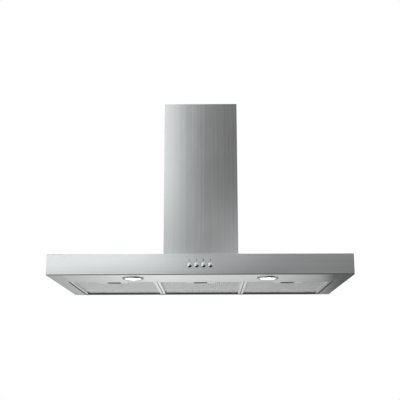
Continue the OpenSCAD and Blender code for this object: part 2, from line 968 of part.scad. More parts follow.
// The right half of the scroll, which scroll_left mirrors
module scroll_half() {
  translate([0, -fan_y, fan_z]) {
    along_x(0, scroll_w / 2)
      scroll_wall();
    along_x(scroll_w / 2, scroll_t)
      difference() {
        scroll_outer();
        circle(d = inlet_d);
      }
    rotate([0, 90, 0])
      translate([0, 0, scroll_w / 2 - inlet_lip])
        difference() {
          cylinder(h = inlet_lip, d = inlet_d + 2 * scroll_t);
          translate([0, 0, -scroll_t])
            cylinder(h = inlet_lip + 2 * scroll_t, d = inlet_d);
        }
  }
  intersection() {
    translate([0, outlet_y, casing_z1 - casing_t - scroll_flange_t])
      linear_extrude(scroll_flange_t)
        difference() {
          circle(scroll_flange_r);
          square([scroll_w, scroll_r1 - tongue_u], center = true);
        }
    block([0, -chimney_d, 0], [chimney_w, 0, hood_h]);
  }
}

module scroll_left() {
  color("dimgray")
    mirror([1, 0, 0])
      scroll_half();
}

module scroll_right() {
  color("dimgray")
    scroll_half();
}

// Forward curved blade, drawn from its root to its tip
module blade_profile() {
  function tilt(t) = blade_sweep * t * t;
  function spot(t, side) =
    let (r = blade_r0 + (blade_depth - fan_ring_lip) * t, a = tilt(t) + side * blade_t / r * 90 / PI)
      r * [cos(a), sin(a)];
  polygon(concat(
    [for (i = [0 : blade_steps]) spot(i / blade_steps, -1)],
    [for (i = [blade_steps : -1 : 0]) spot(i / blade_steps, 1)]
  ));
}

// Double inlet impeller: a middle disc with its hub, the blades and two end rings
module impeller() {
  color("black")
    translate([0, -fan_y, fan_z])
      difference() {
        union() {
          along_x(-fan_w / 2, fan_w)
            for (i = [0 : blade_count - 1])
              rotate(360 * i / blade_count)
                blade_profile();
          along_x(-fan_disc_t / 2, fan_disc_t)
            circle(blade_r1 - blade_depth / 2);
          along_x(-fan_disc_t / 2, hub_l)
            circle(d = hub_d);
          for (x = [-fan_w / 2, fan_w / 2 - fan_ring_t])
            along_x(x, fan_ring_t)
              difference() {
                circle(blade_r1);
                circle(blade_r1 - fan_ring_w);
              }
        }
        rotate([0, 90, 0])
          cylinder(h = 2 * hub_l + 2, d = shaft_d, center = true);
      }
}

module motor_shaft() {
  color("silver")
    rod_x(-fan_y, fan_z, motor_x0 - motor_boss_l - shaft_tail,
          -fan_disc_t / 2 + hub_l, shaft_d / 2);
}

// Motor with cooling rings, which hangs by its rear end in the left inlet
module motor() {
  color("slategray")
    translate([0, -fan_y, fan_z])
      rotate([0, 90, 0])
        translate([0, 0, motor_x0])
          difference() {
            union() {
              cylinder(h = motor_l, d = motor_d - 2 * motor_fin_t);
              for (i = [0 : motor_fins - 1])
                translate([0, 0, (motor_l - motor_fin_t) * i / (motor_fins - 1)])
                  cylinder(h = motor_fin_t, d = motor_d);
              translate([0, 0, -motor_boss_l])
                cylinder(h = motor_l + 2 * motor_boss_l, d = motor_boss_d);
            }
            translate([0, 0, -2 * motor_boss_l])
              cylinder(h = motor_l + 4 * motor_boss_l, r = shaft_d / 2 + shaft_gap);
          }
}

// Three legged plate from the motor to the grommets on the scroll
module motor_bracket() {
  color("gainsboro")
    translate([0, -fan_y, fan_z]) {
      along_x(spider_x - spider_t, spider_t)
        difference() {
          union() {
            circle(d = motor_d);
            for (i = [0 : 2])
              rotate(120 * i + 30) {
                translate([0, -spider_w / 2])
                  square([grommet_r, spider_w]);
                translate([grommet_r, 0])
                  circle(d = grommet_d);
              }
          }
          circle(d = motor_d - 2 * spider_ring);
          for (i = [0 : 2])
            rotate(120 * i + 30)
              translate([grommet_r, 0])
                circle(d = screw_d);
        }
      along_x(spider_x, motor_x0 - spider_x)
        difference() {
          circle(d = motor_d - 2 * motor_fin_t);
          circle(d = motor_d - 2 * spider_ring);
        }
    }
}

module motor_grommets() {
  color("black")
    translate([0, -fan_y, fan_z])
      along_x(spider_x, grommet_l)
        for (i = [0 : 2])
          rotate(120 * i + 30)
            translate([grommet_r, 0])
              difference() {
                circle(d = grommet_d);
                circle(d = screw_d);
              }
}

// Outlet

// Duct collar with a base flange and the ledge that the flaps close on
module outlet_collar() {
  ledge_z1 = flap_pin_z - flap_t / 2 - ledge_drop;
  color("dimgray")
    translate([0, outlet_y, 0])
      difference() {
        union() {
          translate([0, 0, casing_z1])
            cylinder(h = collar_h, d = collar_d);
          intersection() {
            translate([0, 0, casing_z1])
              cylinder(h = collar_base_t, d = collar_flange_d);
            block([-collar_flange_d, -collar_flange_d, 0],
                  [collar_flange_d, -outlet_y + casing_y1, hood_h]);
          }
        }
        translate([0, 0, casing_z1 - collar_t])
          cylinder(h = ledge_z1 - ledge_t - casing_z1 + collar_t, r = outlet_r);
        translate([0, 0, casing_z1])
          cylinder(h = collar_h, r = outlet_r - ledge_w);
        translate([0, 0, ledge_z1])
          cylinder(h = collar_h, r = outlet_r);
        rod_x(0, flap_pin_z, -collar_d, collar_d, pin_d / 2);
      }
}

module flap_pin() {
  color("silver")
    rod_x(outlet_y, flap_pin_z, -outlet_r - collar_t / 2, outlet_r + collar_t / 2, pin_d / 2);
}

// Half disc with two knuckles on the pin. s = -1 is the front flap and 1 the rear one
module flap(s) {
  own = s < 0 ? [-1.5, 0.5] : [-0.5, 1.5];
  other = s < 0 ? [-0.5, 1.5] : [-1.5, 0.5];
  color("lightgray")
    translate([0, outlet_y, flap_pin_z])
      difference() {
        union() {
          intersection() {
            cylinder(h = flap_t, r = flap_r, center = true);
            translate([0, s * flap_r, 0])
              cube([2 * flap_r, 2 * flap_r, 2 * flap_t], center = true);
          }
          for (k = own)
            rod_x(0, 0, k * knuckle_pitch - knuckle_l / 2, k * knuckle_pitch + knuckle_l / 2,
                  knuckle_r);
        }
        for (k = other)
          rod_x(0, 0, (k - 0.5) * knuckle_pitch, (k + 0.5) * knuckle_pitch,
                knuckle_r + flap_clear);
        for (e = [-1, 1])
          block([e > 0 ? 2 * knuckle_pitch : -flap_r, -knuckle_r - flap_clear, -knuckle_r],
                [e > 0 ? flap_r : -2 * knuckle_pitch, knuckle_r + flap_clear, knuckle_r]);
        rod_x(0, 0, -flap_r, flap_r, pin_d / 2 + pin_gap);
      }
}

// Electrical parts on the casing

module terminal_box() {
  color("darkslategray")
    translate([box_x, box_y + box_d / 2, casing_z1]) {
      linear_extrude(box_h)
        rounded_rect(box_w, box_d, box_r);
      translate([0, 0, box_h])
        linear_extrude(box_lid_t)
          rounded_rect(box_w + 2 * box_lid_lip, box_d + 2 * box_lid_lip, box_r);
    }
}

// Gland in the left end of the terminal box
module cable_gland() {
  gland_x = box_x - box_w / 2;
  color("black")
    difference() {
      union() {
        rod_x(box_y + box_d / 2, casing_z1 + box_h / 2, gland_x - gland_l, gland_x,
              gland_d / 2 - box_lid_lip);
        translate([gland_x - gland_nut_l, box_y + box_d / 2, casing_z1 + box_h / 2])
          rotate([0, 90, 0])
            cylinder(h = gland_nut_l, d = gland_d, $fn = 6);
      }
      rod_x(box_y + box_d / 2, casing_z1 + box_h / 2, gland_x - 2 * gland_l, gland_x - box_lid_lip,
            gland_bore_d / 2);
    }
}

module capacitor() {
  color("whitesmoke")
    translate([capacitor_x, box_y + box_d / 2, casing_z1]) {
      cylinder(h = capacitor_h, d = capacitor_d);
      cylinder(h = capacitor_h + capacitor_neck, d = capacitor_d / 2);
    }
}

// Wall fixings

// Plate on the wall with a trough that the casing's rear wall hangs in
module wall_hook(s) {
  lip_y = -hook_t - hook_trough;
  color("silver")
    translate([s * hook_pitch / 2, 0, 0])
      difference() {
        union() {
          block([-hook_w / 2, -hook_t, hook_z - hook_h / 2],
                [hook_w / 2, 0, hook_z + hook_h / 2]);
          block([-hook_w / 2, lip_y - hook_t, hook_z], [hook_w / 2, -hook_t, hook_z + hook_t]);
          block([-hook_w / 2, lip_y - hook_t, hook_z], [hook_w / 2, lip_y, hook_z + hook_lip]);
        }
        for (e = [-1, 1])
          rod_y(0, hook_z + e * hook_hole_pitch / 2, -hook_w, hook_w, wall_hole_d / 2);
      }
}

// Bracket at the wall that the top of the chimney is screwed to
module upper_bracket() {
  arm_y = -upper_wall_gap - chimney_t;
  z0 = bracket_z1 - bracket_h;
  color("gainsboro")
    difference() {
      union() {
        block([-bracket_w / 2, -bracket_t, z0], [bracket_w / 2, 0, bracket_z1]);
        for (s = [-1, 1])
          scale([s, 1, 1]) {
            block([bracket_w / 2 - bracket_t, arm_y - bracket_t, z0],
                  [bracket_w / 2, 0, bracket_z1]);
            block([bracket_w / 2 - bracket_t, arm_y - bracket_t, z0],
                  [upper_in, arm_y, bracket_z1]);
            block([upper_in - bracket_t, arm_y - bracket_ear, z0],
                  [upper_in, arm_y, bracket_z1]);
          }
      }
      for (s = [-1, 1])
        rod_y(s * bracket_pitch / 2, z0 + bracket_h / 2, -2 * bracket_t, bracket_t,
              wall_hole_d / 2);
      place_bracket_screws()
        screw_hole();
    }
}

// Chimney

// U section, open at the wall, from z0 to z1
module chimney_section(half, front, back, z0, z1) {
  depth = front - back;
  translate([half, -front, z0])
    rotate([0, 0, 90])
      linear_extrude(z1 - z0)
        difference() {
          rounded_front(depth, 2 * half, chimney_r);
          translate([chimney_t, chimney_t])
            rounded_front(depth - 2 * chimney_t, 2 * (half - chimney_t), chimney_r - chimney_t);
          translate([depth - 2 * chimney_t, wall_edge])
            square([3 * chimney_t, 2 * (half - wall_edge)]);
        }
}

module lower_chimney() {
  color("silver")
    difference() {
      union() {
        chimney_section(half_chimney, chimney_d, wall_gap, canopy_h, hood_h);
        block([-half_chimney + chimney_t, -chimney_d + chimney_t, canopy_h],
              [half_chimney - chimney_t, -chimney_d + foot_w, canopy_h + chimney_t]);
        for (s = [-1, 1])
          scale([s, 1, 1])
            block([half_chimney - foot_w, -chimney_d + foot_w, canopy_h],
                  [half_chimney - chimney_t / 2, -wall_gap - chimney_t,
                   canopy_h + chimney_t]);
      }
      place_chimney_screws()
        screw_hole();
    }
}

module upper_chimney() {
  color("silver")
    difference() {
      chimney_section(upper_out, upper_front, upper_wall_gap, upper_z0, upper_z1);
      for (i = [0 : vent_count - 1])
        translate([0, -upper_front / 2, upper_z1 - vent_top - i * vent_pitch])
          cube([2 * half_chimney, vent_l, vent_h], center = true);
      place_bracket_screws()
        screw_hole();
    }
}

// Screws

module place_casing_screws() {
  for (sx = [-1, 1], y = [casing_y0 + casing_flange / 2, casing_y1 - casing_flange / 2])
    translate([sx * (casing_w / 2 - 2 * casing_flange), y, canopy_h + casing_t])
      children();
}

module casing_screws() {
  color("dimgray")
    place_casing_screws()
      screw(screw_l);
}

module place_chimney_screws() {
  for (sx = [-1, 1], y = [-chimney_d * 0.8, -chimney_d * 0.3])
    translate([sx * (half_chimney - foot_w / 2), y, canopy_h + chimney_t])
      children();
}

module chimney_screws() {
  color("dimgray")
    place_chimney_screws()
      screw(screw_l);
}

// The screws point outward, from inside the bracket's ears
module place_bracket_screws() {
  for (s = [-1, 1])
    translate([s * (upper_in - bracket_t), -upper_wall_gap - bracket_ear / 2,
               bracket_z1 - bracket_h / 2])
      rotate([0, s * -90, 0])
        children();
}

module bracket_screws() {
  color("dimgray")
    place_bracket_screws()
      screw(bracket_screw_l);
}

canopy_shell();
front_panel();
lamp_panel();
hinge_rail();
button_frame();
switch_block();
button(0);  // button_1
button(1);  // button_2
button(2);  // button_3
button(3);  // button_4
lamp_bezel(-1);  // lamp_bezel_left
lamp_bezel(1);  // lamp_bezel_right
lamp_glass(-1);  // lamp_glass_left
lamp_glass(1);  // lamp_glass_right
lamp_housing(-1);  // lamp_housing_left
lamp_housing(1);  // lamp_housing_right
lamp_bulb(-1);  // lamp_bulb_left
lamp_bulb(1);  // lamp_bulb_right
lamp_transformer();
filter_frame(-1);  // filter_frame_left
filter_frame(0);  // filter_frame_centre
filter_frame(1);  // filter_frame_right
filter_mesh(-1);  // filter_mesh_left
filter_mesh(0);  // filter_mesh_centre
filter_mesh(1);  // filter_mesh_right
latch_cup(-1);  // latch_cup_left
latch_cup(0);  // latch_cup_centre
latch_cup(1);  // latch_cup_right
latch_bolt(-1);  // latch_bolt_left
latch_bolt(0);  // latch_bolt_centre
latch_bolt(1);  // latch_bolt_right
blower_casing();
scroll_left();
scroll_right();
impeller();
motor_shaft();
motor();
motor_bracket();
motor_grommets();
outlet_collar();
flap_pin();
flap(-1);  // flap_front
flap(1);  // flap_rear
terminal_box();
cable_gland();
capacitor();
wall_hook(-1);  // wall_hook_left
wall_hook(1);  // wall_hook_right
lower_chimney();
upper_chimney();
upper_bracket();
casing_screws();
chimney_screws();
bracket_screws();
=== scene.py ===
import json
import math

import bpy
from bpy.props import FloatProperty, FloatVectorProperty, IntProperty, PointerProperty
from mathutils import Matrix, Vector


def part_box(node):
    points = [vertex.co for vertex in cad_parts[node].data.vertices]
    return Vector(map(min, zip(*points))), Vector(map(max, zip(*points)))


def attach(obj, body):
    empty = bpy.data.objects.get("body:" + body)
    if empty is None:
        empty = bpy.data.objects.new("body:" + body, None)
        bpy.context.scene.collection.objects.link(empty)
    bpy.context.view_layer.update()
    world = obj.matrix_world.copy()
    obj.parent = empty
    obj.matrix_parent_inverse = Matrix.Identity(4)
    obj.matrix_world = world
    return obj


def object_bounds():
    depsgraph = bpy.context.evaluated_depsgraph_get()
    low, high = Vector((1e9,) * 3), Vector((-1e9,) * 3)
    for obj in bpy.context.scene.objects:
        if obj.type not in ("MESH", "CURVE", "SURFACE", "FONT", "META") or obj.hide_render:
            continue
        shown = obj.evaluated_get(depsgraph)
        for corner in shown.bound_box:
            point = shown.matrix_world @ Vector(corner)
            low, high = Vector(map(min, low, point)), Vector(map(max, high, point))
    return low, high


bl_info = {
    "name": "Wall mount range hood",
    "version": (1, 0, 0),
    "blender": (4, 5, 0),
    "location": "3D View > Sidebar > Hood",
    "description": "Finishes, small parts, camera and light for a wall mount range hood",
    "category": "Object",
}

SIDES = ("left", "centre", "right")
BUTTONS = (1, 2, 3, 4)
MM = 0.001

SENSOR_WIDTH = 36.0
SCREW_STEPS = 48
SMOOTH_ANGLE = math.radians(35)
WHITE = (1.0, 1.0, 1.0, 1.0)
BRIGHT_STEEL = (0.66, 0.66, 0.66)
RUBBER = (0.018, 0.018, 0.018)

# First value and result of the Mix node, which repeats its names for each kind of value
MIX_SOCKETS = {"FLOAT": (2, 0), "VECTOR": (4, 1), "RGBA": (6, 2)}

# Painted shade and more roughness inside the folded sheets, where the light doesn't reach
PAINTED_SHADE, DULL_ROUGHNESS = 0.08, 0.5

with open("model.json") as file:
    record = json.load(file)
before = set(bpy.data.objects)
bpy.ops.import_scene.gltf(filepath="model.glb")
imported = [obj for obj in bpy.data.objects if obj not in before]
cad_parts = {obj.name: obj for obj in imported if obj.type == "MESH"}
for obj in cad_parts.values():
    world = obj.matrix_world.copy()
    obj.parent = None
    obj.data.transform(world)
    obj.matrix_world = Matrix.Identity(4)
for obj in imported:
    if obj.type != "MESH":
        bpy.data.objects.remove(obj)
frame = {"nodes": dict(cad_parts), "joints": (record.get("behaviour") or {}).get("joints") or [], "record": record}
cad_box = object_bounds()


def joint_place(name):
    """Where a joint turns, in the row frame"""
    found = next(joint for joint in frame["joints"] if joint["name"] == name)
    return Vector(found["pos_m"])


def mount_size(name, size):
    """A size of one of the record's mounts, in metres"""
    found = next(mount for mount in frame["record"]["mounts"] if mount["name"] == name)
    return found["dims"][size] * MM


# Settings


class HoodStageSettings(bpy.types.PropertyGroup):
    """Camera, floor and light"""

    lens: FloatProperty(
        name="Lens", description="Focal length on a 36 mm sensor", default=68.15, unit="CAMERA"
    )
    camera_place: FloatVectorProperty(
        name="Camera place", description="Where the camera stands",
        default=(0.0293, -2.6834, -0.3126), subtype="XYZ", unit="LENGTH",
    )
    camera_aim: FloatVectorProperty(
        name="Camera aim", description="The way the camera looks",
        default=(-0.0128, 0.9758, 0.2182), subtype="XYZ",
    )
    camera_roll: FloatProperty(
        name="Camera roll", description="Turn of the camera about its view", default=0.0012,
        subtype="ANGLE",
    )
    camera_shift: FloatProperty(
        name="Camera shift", description="Upward shift of the view, as a share of its width",
        default=0.039,
    )
    floor_z: FloatProperty(
        name="Floor height", description="Height of the floor under the hood",
        default=-0.8, unit="LENGTH",
    )
    floor_radius: FloatProperty(
        name="Floor radius", description="Where the floor has faded out",
        default=7.0, unit="LENGTH",
    )
    floor_colour: FloatVectorProperty(
        name="Floor", description="Colour of the floor", default=(0.86, 0.86, 0.86),
        subtype="COLOR",
    )
    ambient: FloatProperty(
        name="Ambient", description="Strength of the even light from all round", default=0.5,
    )
    key_power: FloatProperty(
        name="Key", description="Power of the large lamp at the front left",
        default=42.0, unit="POWER",
    )
    fill_power: FloatProperty(
        name="Fill", description="Power of the lamp at the front right", default=14.0, unit="POWER",
    )
    top_power: FloatProperty(
        name="Top", description="Power of the lamp above", default=20.0, unit="POWER",
    )
    rear_power: FloatProperty(
        name="Rear", description="Power of the lamp behind the wall plane", default=34.0,
        unit="POWER",
    )
    low_power: FloatProperty(
        name="Low", description="Power of the lamp under the hood", default=12.0, unit="POWER",
    )
    front_card: FloatProperty(
        name="Front card", description="Light of the card in front of the hood", default=2.0
    )
    rear_card: FloatProperty(
        name="Rear card", description="Light of the card behind the wall plane", default=1.0
    )


class HoodMetalSettings(bpy.types.PropertyGroup):
    """Colours of the metal parts"""

    steel: FloatVectorProperty(
        name="Stainless", description="Colour of the brushed sheet",
        default=(0.608, 0.63, 0.63), subtype="COLOR",
    )
    shell: FloatVectorProperty(
        name="Shell", description="Colour of the canopy's shell",
        default=(0.52, 0.54, 0.542), subtype="COLOR",
    )
    zinc: FloatVectorProperty(
        name="Zinc", description="Colour of the zinc coated sheet",
        default=(0.53, 0.55, 0.56), subtype="COLOR",
    )
    chrome: FloatVectorProperty(
        name="Chrome", description="Colour of the button caps",
        default=(0.82, 0.83, 0.84), subtype="COLOR",
    )
    bezel: FloatVectorProperty(
        name="Bezel", description="Colour of the satin lamp bezels",
        default=(0.42, 0.423, 0.426), subtype="COLOR",
    )
    aluminium: FloatVectorProperty(
        name="Aluminium", description="Colour of the filters", default=(0.72, 0.73, 0.73),
        subtype="COLOR",
    )
    motor: FloatVectorProperty(
        name="Motor paint", description="Colour of the motor", default=(0.11, 0.12, 0.13),
        subtype="COLOR",
    )
    grain_pitch: FloatProperty(
        name="Grain pitch", description="Width of one line of the brushing",
        default=0.0011, unit="LENGTH",
    )
    grain_length: FloatProperty(
        name="Grain length", description="Length of one line of the brushing",
        default=0.3, unit="LENGTH",
    )


class HoodPlasticSettings(bpy.types.PropertyGroup):
    """Colours of the moulded parts"""

    black: FloatVectorProperty(
        name="Black", description="Colour of the scroll, collar and gland",
        default=(0.022, 0.022, 0.024), subtype="COLOR",
    )
    impeller: FloatVectorProperty(
        name="Impeller", description="Colour of the impeller", default=(0.03, 0.03, 0.034),
        subtype="COLOR",
    )
    flap: FloatVectorProperty(
        name="Flaps", description="Colour of the backdraft flaps", default=(0.6, 0.6, 0.57),
        subtype="COLOR",
    )
    cup: FloatVectorProperty(
        name="Latch cup", description="Colour of the latch cups", default=(0.5, 0.51, 0.51),
        subtype="COLOR",
    )
    bolt: FloatVectorProperty(
        name="Latch bolt", description="Colour of the latch bolts", default=(0.03, 0.03, 0.033),
        subtype="COLOR",
    )
    box: FloatVectorProperty(
        name="Terminal box", description="Colour of the terminal box",
        default=(0.06, 0.064, 0.07), subtype="COLOR",
    )
    switch: FloatVectorProperty(
        name="Switch block", description="Colour of the switch block",
        default=(0.16, 0.075, 0.035), subtype="COLOR",
    )
    white: FloatVectorProperty(
        name="White", description="Colour of the capacitor and the lamp driver",
        default=(0.78, 0.78, 0.75), subtype="COLOR",
    )
    print_ink: FloatVectorProperty(
        name="Ink", description="Colour of the numbers above the buttons",
        default=(0.07, 0.07, 0.075), subtype="COLOR",
    )


class HoodPartSettings(bpy.types.PropertyGroup):
    """Sizes of the small parts"""

    digit_height: FloatProperty(
        name="Number height", description="Height of the numbers above the buttons",
        default=0.0062, unit="LENGTH",
    )
    digit_rise: FloatProperty(
        name="Number rise", description="From a button's centre to the middle of its number",
        default=0.0142, unit="LENGTH",
    )
    mesh_pitch_x: FloatProperty(
        name="Mesh width", description="Width of one diamond of the filter facing",
        default=0.012, unit="LENGTH",
    )
    mesh_pitch_y: FloatProperty(
        name="Mesh length", description="Length of one diamond of the filter facing",
        default=0.006, unit="LENGTH",
    )
    strand: FloatProperty(
        name="Strand", description="Width of a strand of the filter facing",
        default=0.0017, unit="LENGTH",
    )
    screw_head: FloatProperty(
        name="Screw head", description="Diameter of the small screw heads",
        default=0.0065, unit="LENGTH",
    )
    rivet_head: FloatProperty(
        name="Rivet head", description="Diameter of the rivet heads", default=0.006, unit="LENGTH",
    )
    turned_steps: IntProperty(
        name="Turned steps", description="Sides of a small turned part", default=32,
    )


def stage():
    return bpy.context.scene.hood_stage


def metals():
    return bpy.context.scene.hood_metals


def plastics():
    return bpy.context.scene.hood_plastics


def parts():
    return bpy.context.scene.hood_parts


# Shader helpers


class Net:
    """Nodes of one tree, added and joined by short calls"""

    def __init__(self, tree):
        self.tree = tree

    def add(self, kind, inputs=None, **settings):
        made = self.tree.nodes.new(kind)
        for name, value in settings.items():
            setattr(made, name, value)
        return self.fill(made, inputs or {})

    def fill(self, node, inputs):
        """Feeds a node's inputs, by their names or numbers"""
        for key, value in inputs.items():
            self.feed(value, node.inputs[key])
        return node

    def feed(self, value, socket):
        """Links an output to the socket, or sets the socket's own value"""
        if isinstance(value, bpy.types.NodeSocket):
            self.tree.links.new(value, socket)
        else:
            socket.default_value = value

    def math(self, operation, *values):
        return self.add("ShaderNodeMath", dict(enumerate(values)), operation=operation).outputs[0]

    def join(self, operation, first, *others):
        """One operation over two or more values, from the left"""
        for other in others:
            first = self.math(operation, first, other)
        return first

    def noise(self, vector, scale, detail=3.0, roughness=0.6):
        inputs = {"Vector": vector, "Scale": scale, "Detail": detail, "Roughness": roughness}
        return self.add("ShaderNodeTexNoise", inputs).outputs["Fac"]

    def span(self, value, low, high, out_low=0.0, out_high=1.0, kind="LINEAR"):
        """The value taken from one range to another"""
        inputs = {
            "Value": value, "From Min": low, "From Max": high,
            "To Min": out_low, "To Max": out_high,
        }
        return self.add("ShaderNodeMapRange", inputs, interpolation_type=kind).outputs["Result"]

    def ramp(self, *values):
        """The same, with soft ends"""
        return self.span(*values, kind="SMOOTHSTEP")

    def curve(self, value, stops):
        """Grey from 0 to 1 along the value, through the stops (place, grey)"""
        low, high = stops[0][0], stops[-1][0]
        made = self.add("ShaderNodeValToRGB", {"Fac": self.span(value, low, high)})
        elements = made.color_ramp.elements
        while len(elements) < len(stops):
            elements.new(0.5)
        for element, (place, grey) in zip(elements, stops):
            element.position = (place - low) / (high - low)
            element.color = (grey, grey, grey, 1.0)
        return made.outputs["Color"]

    def mix(self, kind, factor, low, high):
        """From the low value to the high one. kind is one of MIX_SOCKETS"""
        first, result = MIX_SOCKETS[kind]
        inputs = {0: factor, first: low, first + 1: high}
        return self.add("ShaderNodeMix", inputs, data_type=kind).outputs[result]

    def blend(self, factor, low, high):
        return self.mix("FLOAT", factor, low, high)

    def mix_colour(self, factor, low, high):
        return self.mix("RGBA", factor, rgba(low), rgba(high))

    def place(self):
        """Where a point lies in the part's own frame"""
        return self.add("ShaderNodeTexCoord").outputs["Object"]

    def split(self, vector):
        return self.add("ShaderNodeSeparateXYZ", {0: vector}).outputs

    def axes(self):
        """The place, one output per axis"""
        return self.split(self.place())

    def ways(self):
        """How far a face looks along each axis of the part"""
        return self.split(self.add("ShaderNodeTexCoord").outputs["Normal"])

    def facing(self, axis):
        """1 on the faces that look along an axis, either way"""
        return self.ramp(self.math("ABSOLUTE", self.ways()[axis]), 0.35, 0.65)

    def bump(self, height, distance, strength):
        inputs = {"Height": height, "Distance": distance, "Strength": strength}
        return self.add("ShaderNodeBump", inputs).outputs["Normal"]

    def group(self, build, **inputs):
        """Outputs of a shared node group, which build makes when it is first asked for"""
        tree = bpy.data.node_groups.get(build.__name__) or build()
        return self.add("ShaderNodeGroup", inputs, node_tree=tree).outputs


class Surface(Net):
    """Nodes of a new material"""

    def __init__(self, name):
        self.material = bpy.data.materials.new(name)
        self.material.use_nodes = True
        super().__init__(self.material.node_tree)

    def finish(self, inputs):
        """Feeds the material's shader and gives the material"""
        self.fill(self.tree.nodes["Principled BSDF"], inputs)
        return self.material


def rgba(colour):
    """A colour with full alpha, or the output that carries one"""
    if isinstance(colour, bpy.types.NodeSocket):
        return colour
    return (*colour, 1.0)


def shaded(colour, factor):
    return tuple(channel * factor for channel in colour)


def new_group(name, inputs):
    """A group that gives tone, roughness and height: its nodes, its inputs, its output node"""
    tree = bpy.data.node_groups.new(name, "ShaderNodeTree")
    for title, value in inputs.items():
        kind = "NodeSocketVector" if isinstance(value, tuple) else "NodeSocketFloat"
        socket = tree.interface.new_socket(name=title, in_out="INPUT", socket_type=kind)
        socket.default_value = value
    for title in ("Tone", "Roughness", "Height"):
        tree.interface.new_socket(name=title, in_out="OUTPUT", socket_type="NodeSocketFloat")
    net = Net(tree)
    return net, net.add("NodeGroupInput").outputs, net.add("NodeGroupOutput")


def brushed_grain():
    """Fine lines of brushing, with faint wipe marks over them"""
    net, given, result = new_group(
        "brushed_grain", {"Stretch": (3.0, 900.0, 900.0), "Roughness": 0.25, "Spread": 0.1}
    )
    fine_share, broad_share = 0.62, 0.38
    place = net.place()
    stretched = net.add(
        "ShaderNodeVectorMath", {0: place, 1: given["Stretch"]}, operation="MULTIPLY"
    ).outputs[0]
    fine = net.noise(stretched, 1.0, 4.0, 0.7)
    broad = net.noise(stretched, 0.13, 2.0)
    wiped = net.noise(place, 7.0)
    tone = net.math(
        "ADD", net.math("MULTIPLY", fine, fine_share), net.math("MULTIPLY", broad, broad_share)
    )
    uneven = net.math("ADD", net.math("SUBTRACT", tone, 0.5), net.math("SUBTRACT", wiped, 0.5))
    rough = net.math("MULTIPLY_ADD", uneven, given["Spread"], given["Roughness"])
    net.fill(result, {"Tone": tone, "Roughness": rough, "Height": fine})
    return net.tree


def moulded_texture():
    """Fine moulded texture with a slow change of tone and gloss"""
    net, given, result = new_group("moulded_texture", {"Scale": 1800.0, "Roughness": 0.5})
    fine_share, slow_share, gloss_change = 0.3, 0.7, 0.16
    place = net.place()
    fine = net.noise(place, given["Scale"], 2.0)
    slow = net.noise(place, 14.0)
    tone = net.math("MULTIPLY_ADD", fine, fine_share, net.math("MULTIPLY", slow, slow_share))
    gloss = net.math("MULTIPLY", net.math("SUBTRACT", slow, 0.5), gloss_change)
    rough = net.math("ADD", given["Roughness"], gloss)
    net.fill(result, {"Tone": tone, "Roughness": rough, "Height": fine})
    return net.tree


def zinc_spangle():
    """Crystals of a zinc coat, each with its own tone and gloss"""
    net, given, result = new_group("zinc_spangle", {"Scale": 90.0, "Roughness": 0.42})
    edge_shift, gloss_change = (0.012, 0.012, 0.012), 0.16
    place = net.place()
    warp = net.add("ShaderNodeTexNoise", {"Vector": place, "Scale": 40.0, "Detail": 2.0})
    bent = net.add(
        "ShaderNodeVectorMath", {0: warp.outputs["Color"], 1: edge_shift, 2: place},
        operation="MULTIPLY_ADD",
    ).outputs[0]
    cells = net.add("ShaderNodeTexVoronoi", {"Vector": bent, "Scale": given["Scale"]})
    shade = net.add("ShaderNodeSeparateColor", {"Color": cells.outputs["Color"]}).outputs
    dull = net.math("MULTIPLY", net.math("SUBTRACT", shade["Green"], 0.5), gloss_change)
    net.fill(result, {
        "Tone": shade["Red"], "Roughness": net.math("ADD", given["Roughness"], dull),
        "Height": net.noise(place, 1400.0, 2.0),
    })
    return net.tree


# Materials


def grain_stretch(axis):
    """Noise scales for brushing along one axis of the row frame"""
    across, along = 1 / metals().grain_pitch, 1 / metals().grain_length
    return tuple(along if i == "XYZ".index(axis) else across for i in range(3))


def tangent_way(net, way):
    """A direction fixed to the part, turned into the world's axes"""
    fixed = net.add("ShaderNodeCombineXYZ", dict(enumerate(way))).outputs[0]
    return net.add(
        "ShaderNodeVectorTransform", {"Vector": fixed},
        vector_type="VECTOR", convert_from="OBJECT", convert_to="WORLD",
    ).outputs[0]


def grain(net, stretch, roughness, colour, bright):
    """Roughness, height and colour of the brushing"""
    given = net.group(brushed_grain, Stretch=stretch, Roughness=roughness, Spread=0.08)
    tone = net.ramp(given["Tone"], 0.3, 0.7)
    colours = net.mix_colour(tone, shaded(colour, 0.95), shaded(colour, bright))
    return given["Roughness"], given["Height"], colours


def brushed(
    name, colour, roughness, anisotropy, axis="X", across=(0, 1, 1), folded=False, lower_edge_shade=0.0
):
    """Brushed sheet. On a folded one the grain turns with the sides, and the inside gets painted shade
    and more roughness. bend is the height in mm of a band of painted shade along the lower edge"""
    net = Surface(name)
    stretch, tangent = grain_stretch(axis), tangent_way(net, across)
    if folded:
        side = folded_sides(net)
        stretch = net.mix("VECTOR", side, stretch, grain_stretch("Y"))
        tangent = net.mix("VECTOR", side, tangent, tangent_way(net, (1, 0, 1)))
    rough, height, colours = grain(net, stretch, roughness, colour, 1.04)
    metallic = 1.0
    if folded:
        # Painted shade on the faces inside the canopy, which are also made rougher and not metal
        inner = inner_walls(net)
        colours = net.mix_colour(inner, colours, shaded(colour, PAINTED_SHADE))
        rough = net.math("MULTIPLY_ADD", inner, DULL_ROUGHNESS, rough)
        metallic = net.math("SUBTRACT", 1.0, inner)
    if lower_edge_shade:
        # Painted shade: a band along the lower edge at half the brightness
        low = net.math("LESS_THAN", net.axes()["Z"], lower_edge_shade * MM)
        colours = net.mix_colour(low, colours, shaded(colour, 0.5))
    return net.finish({
        "Base Color": colours, "Roughness": rough, "Metallic": metallic, "Tangent": tangent,
        "Normal": net.bump(height, 0.02 * MM, 0.2), "Anisotropic": anisotropy,
    })


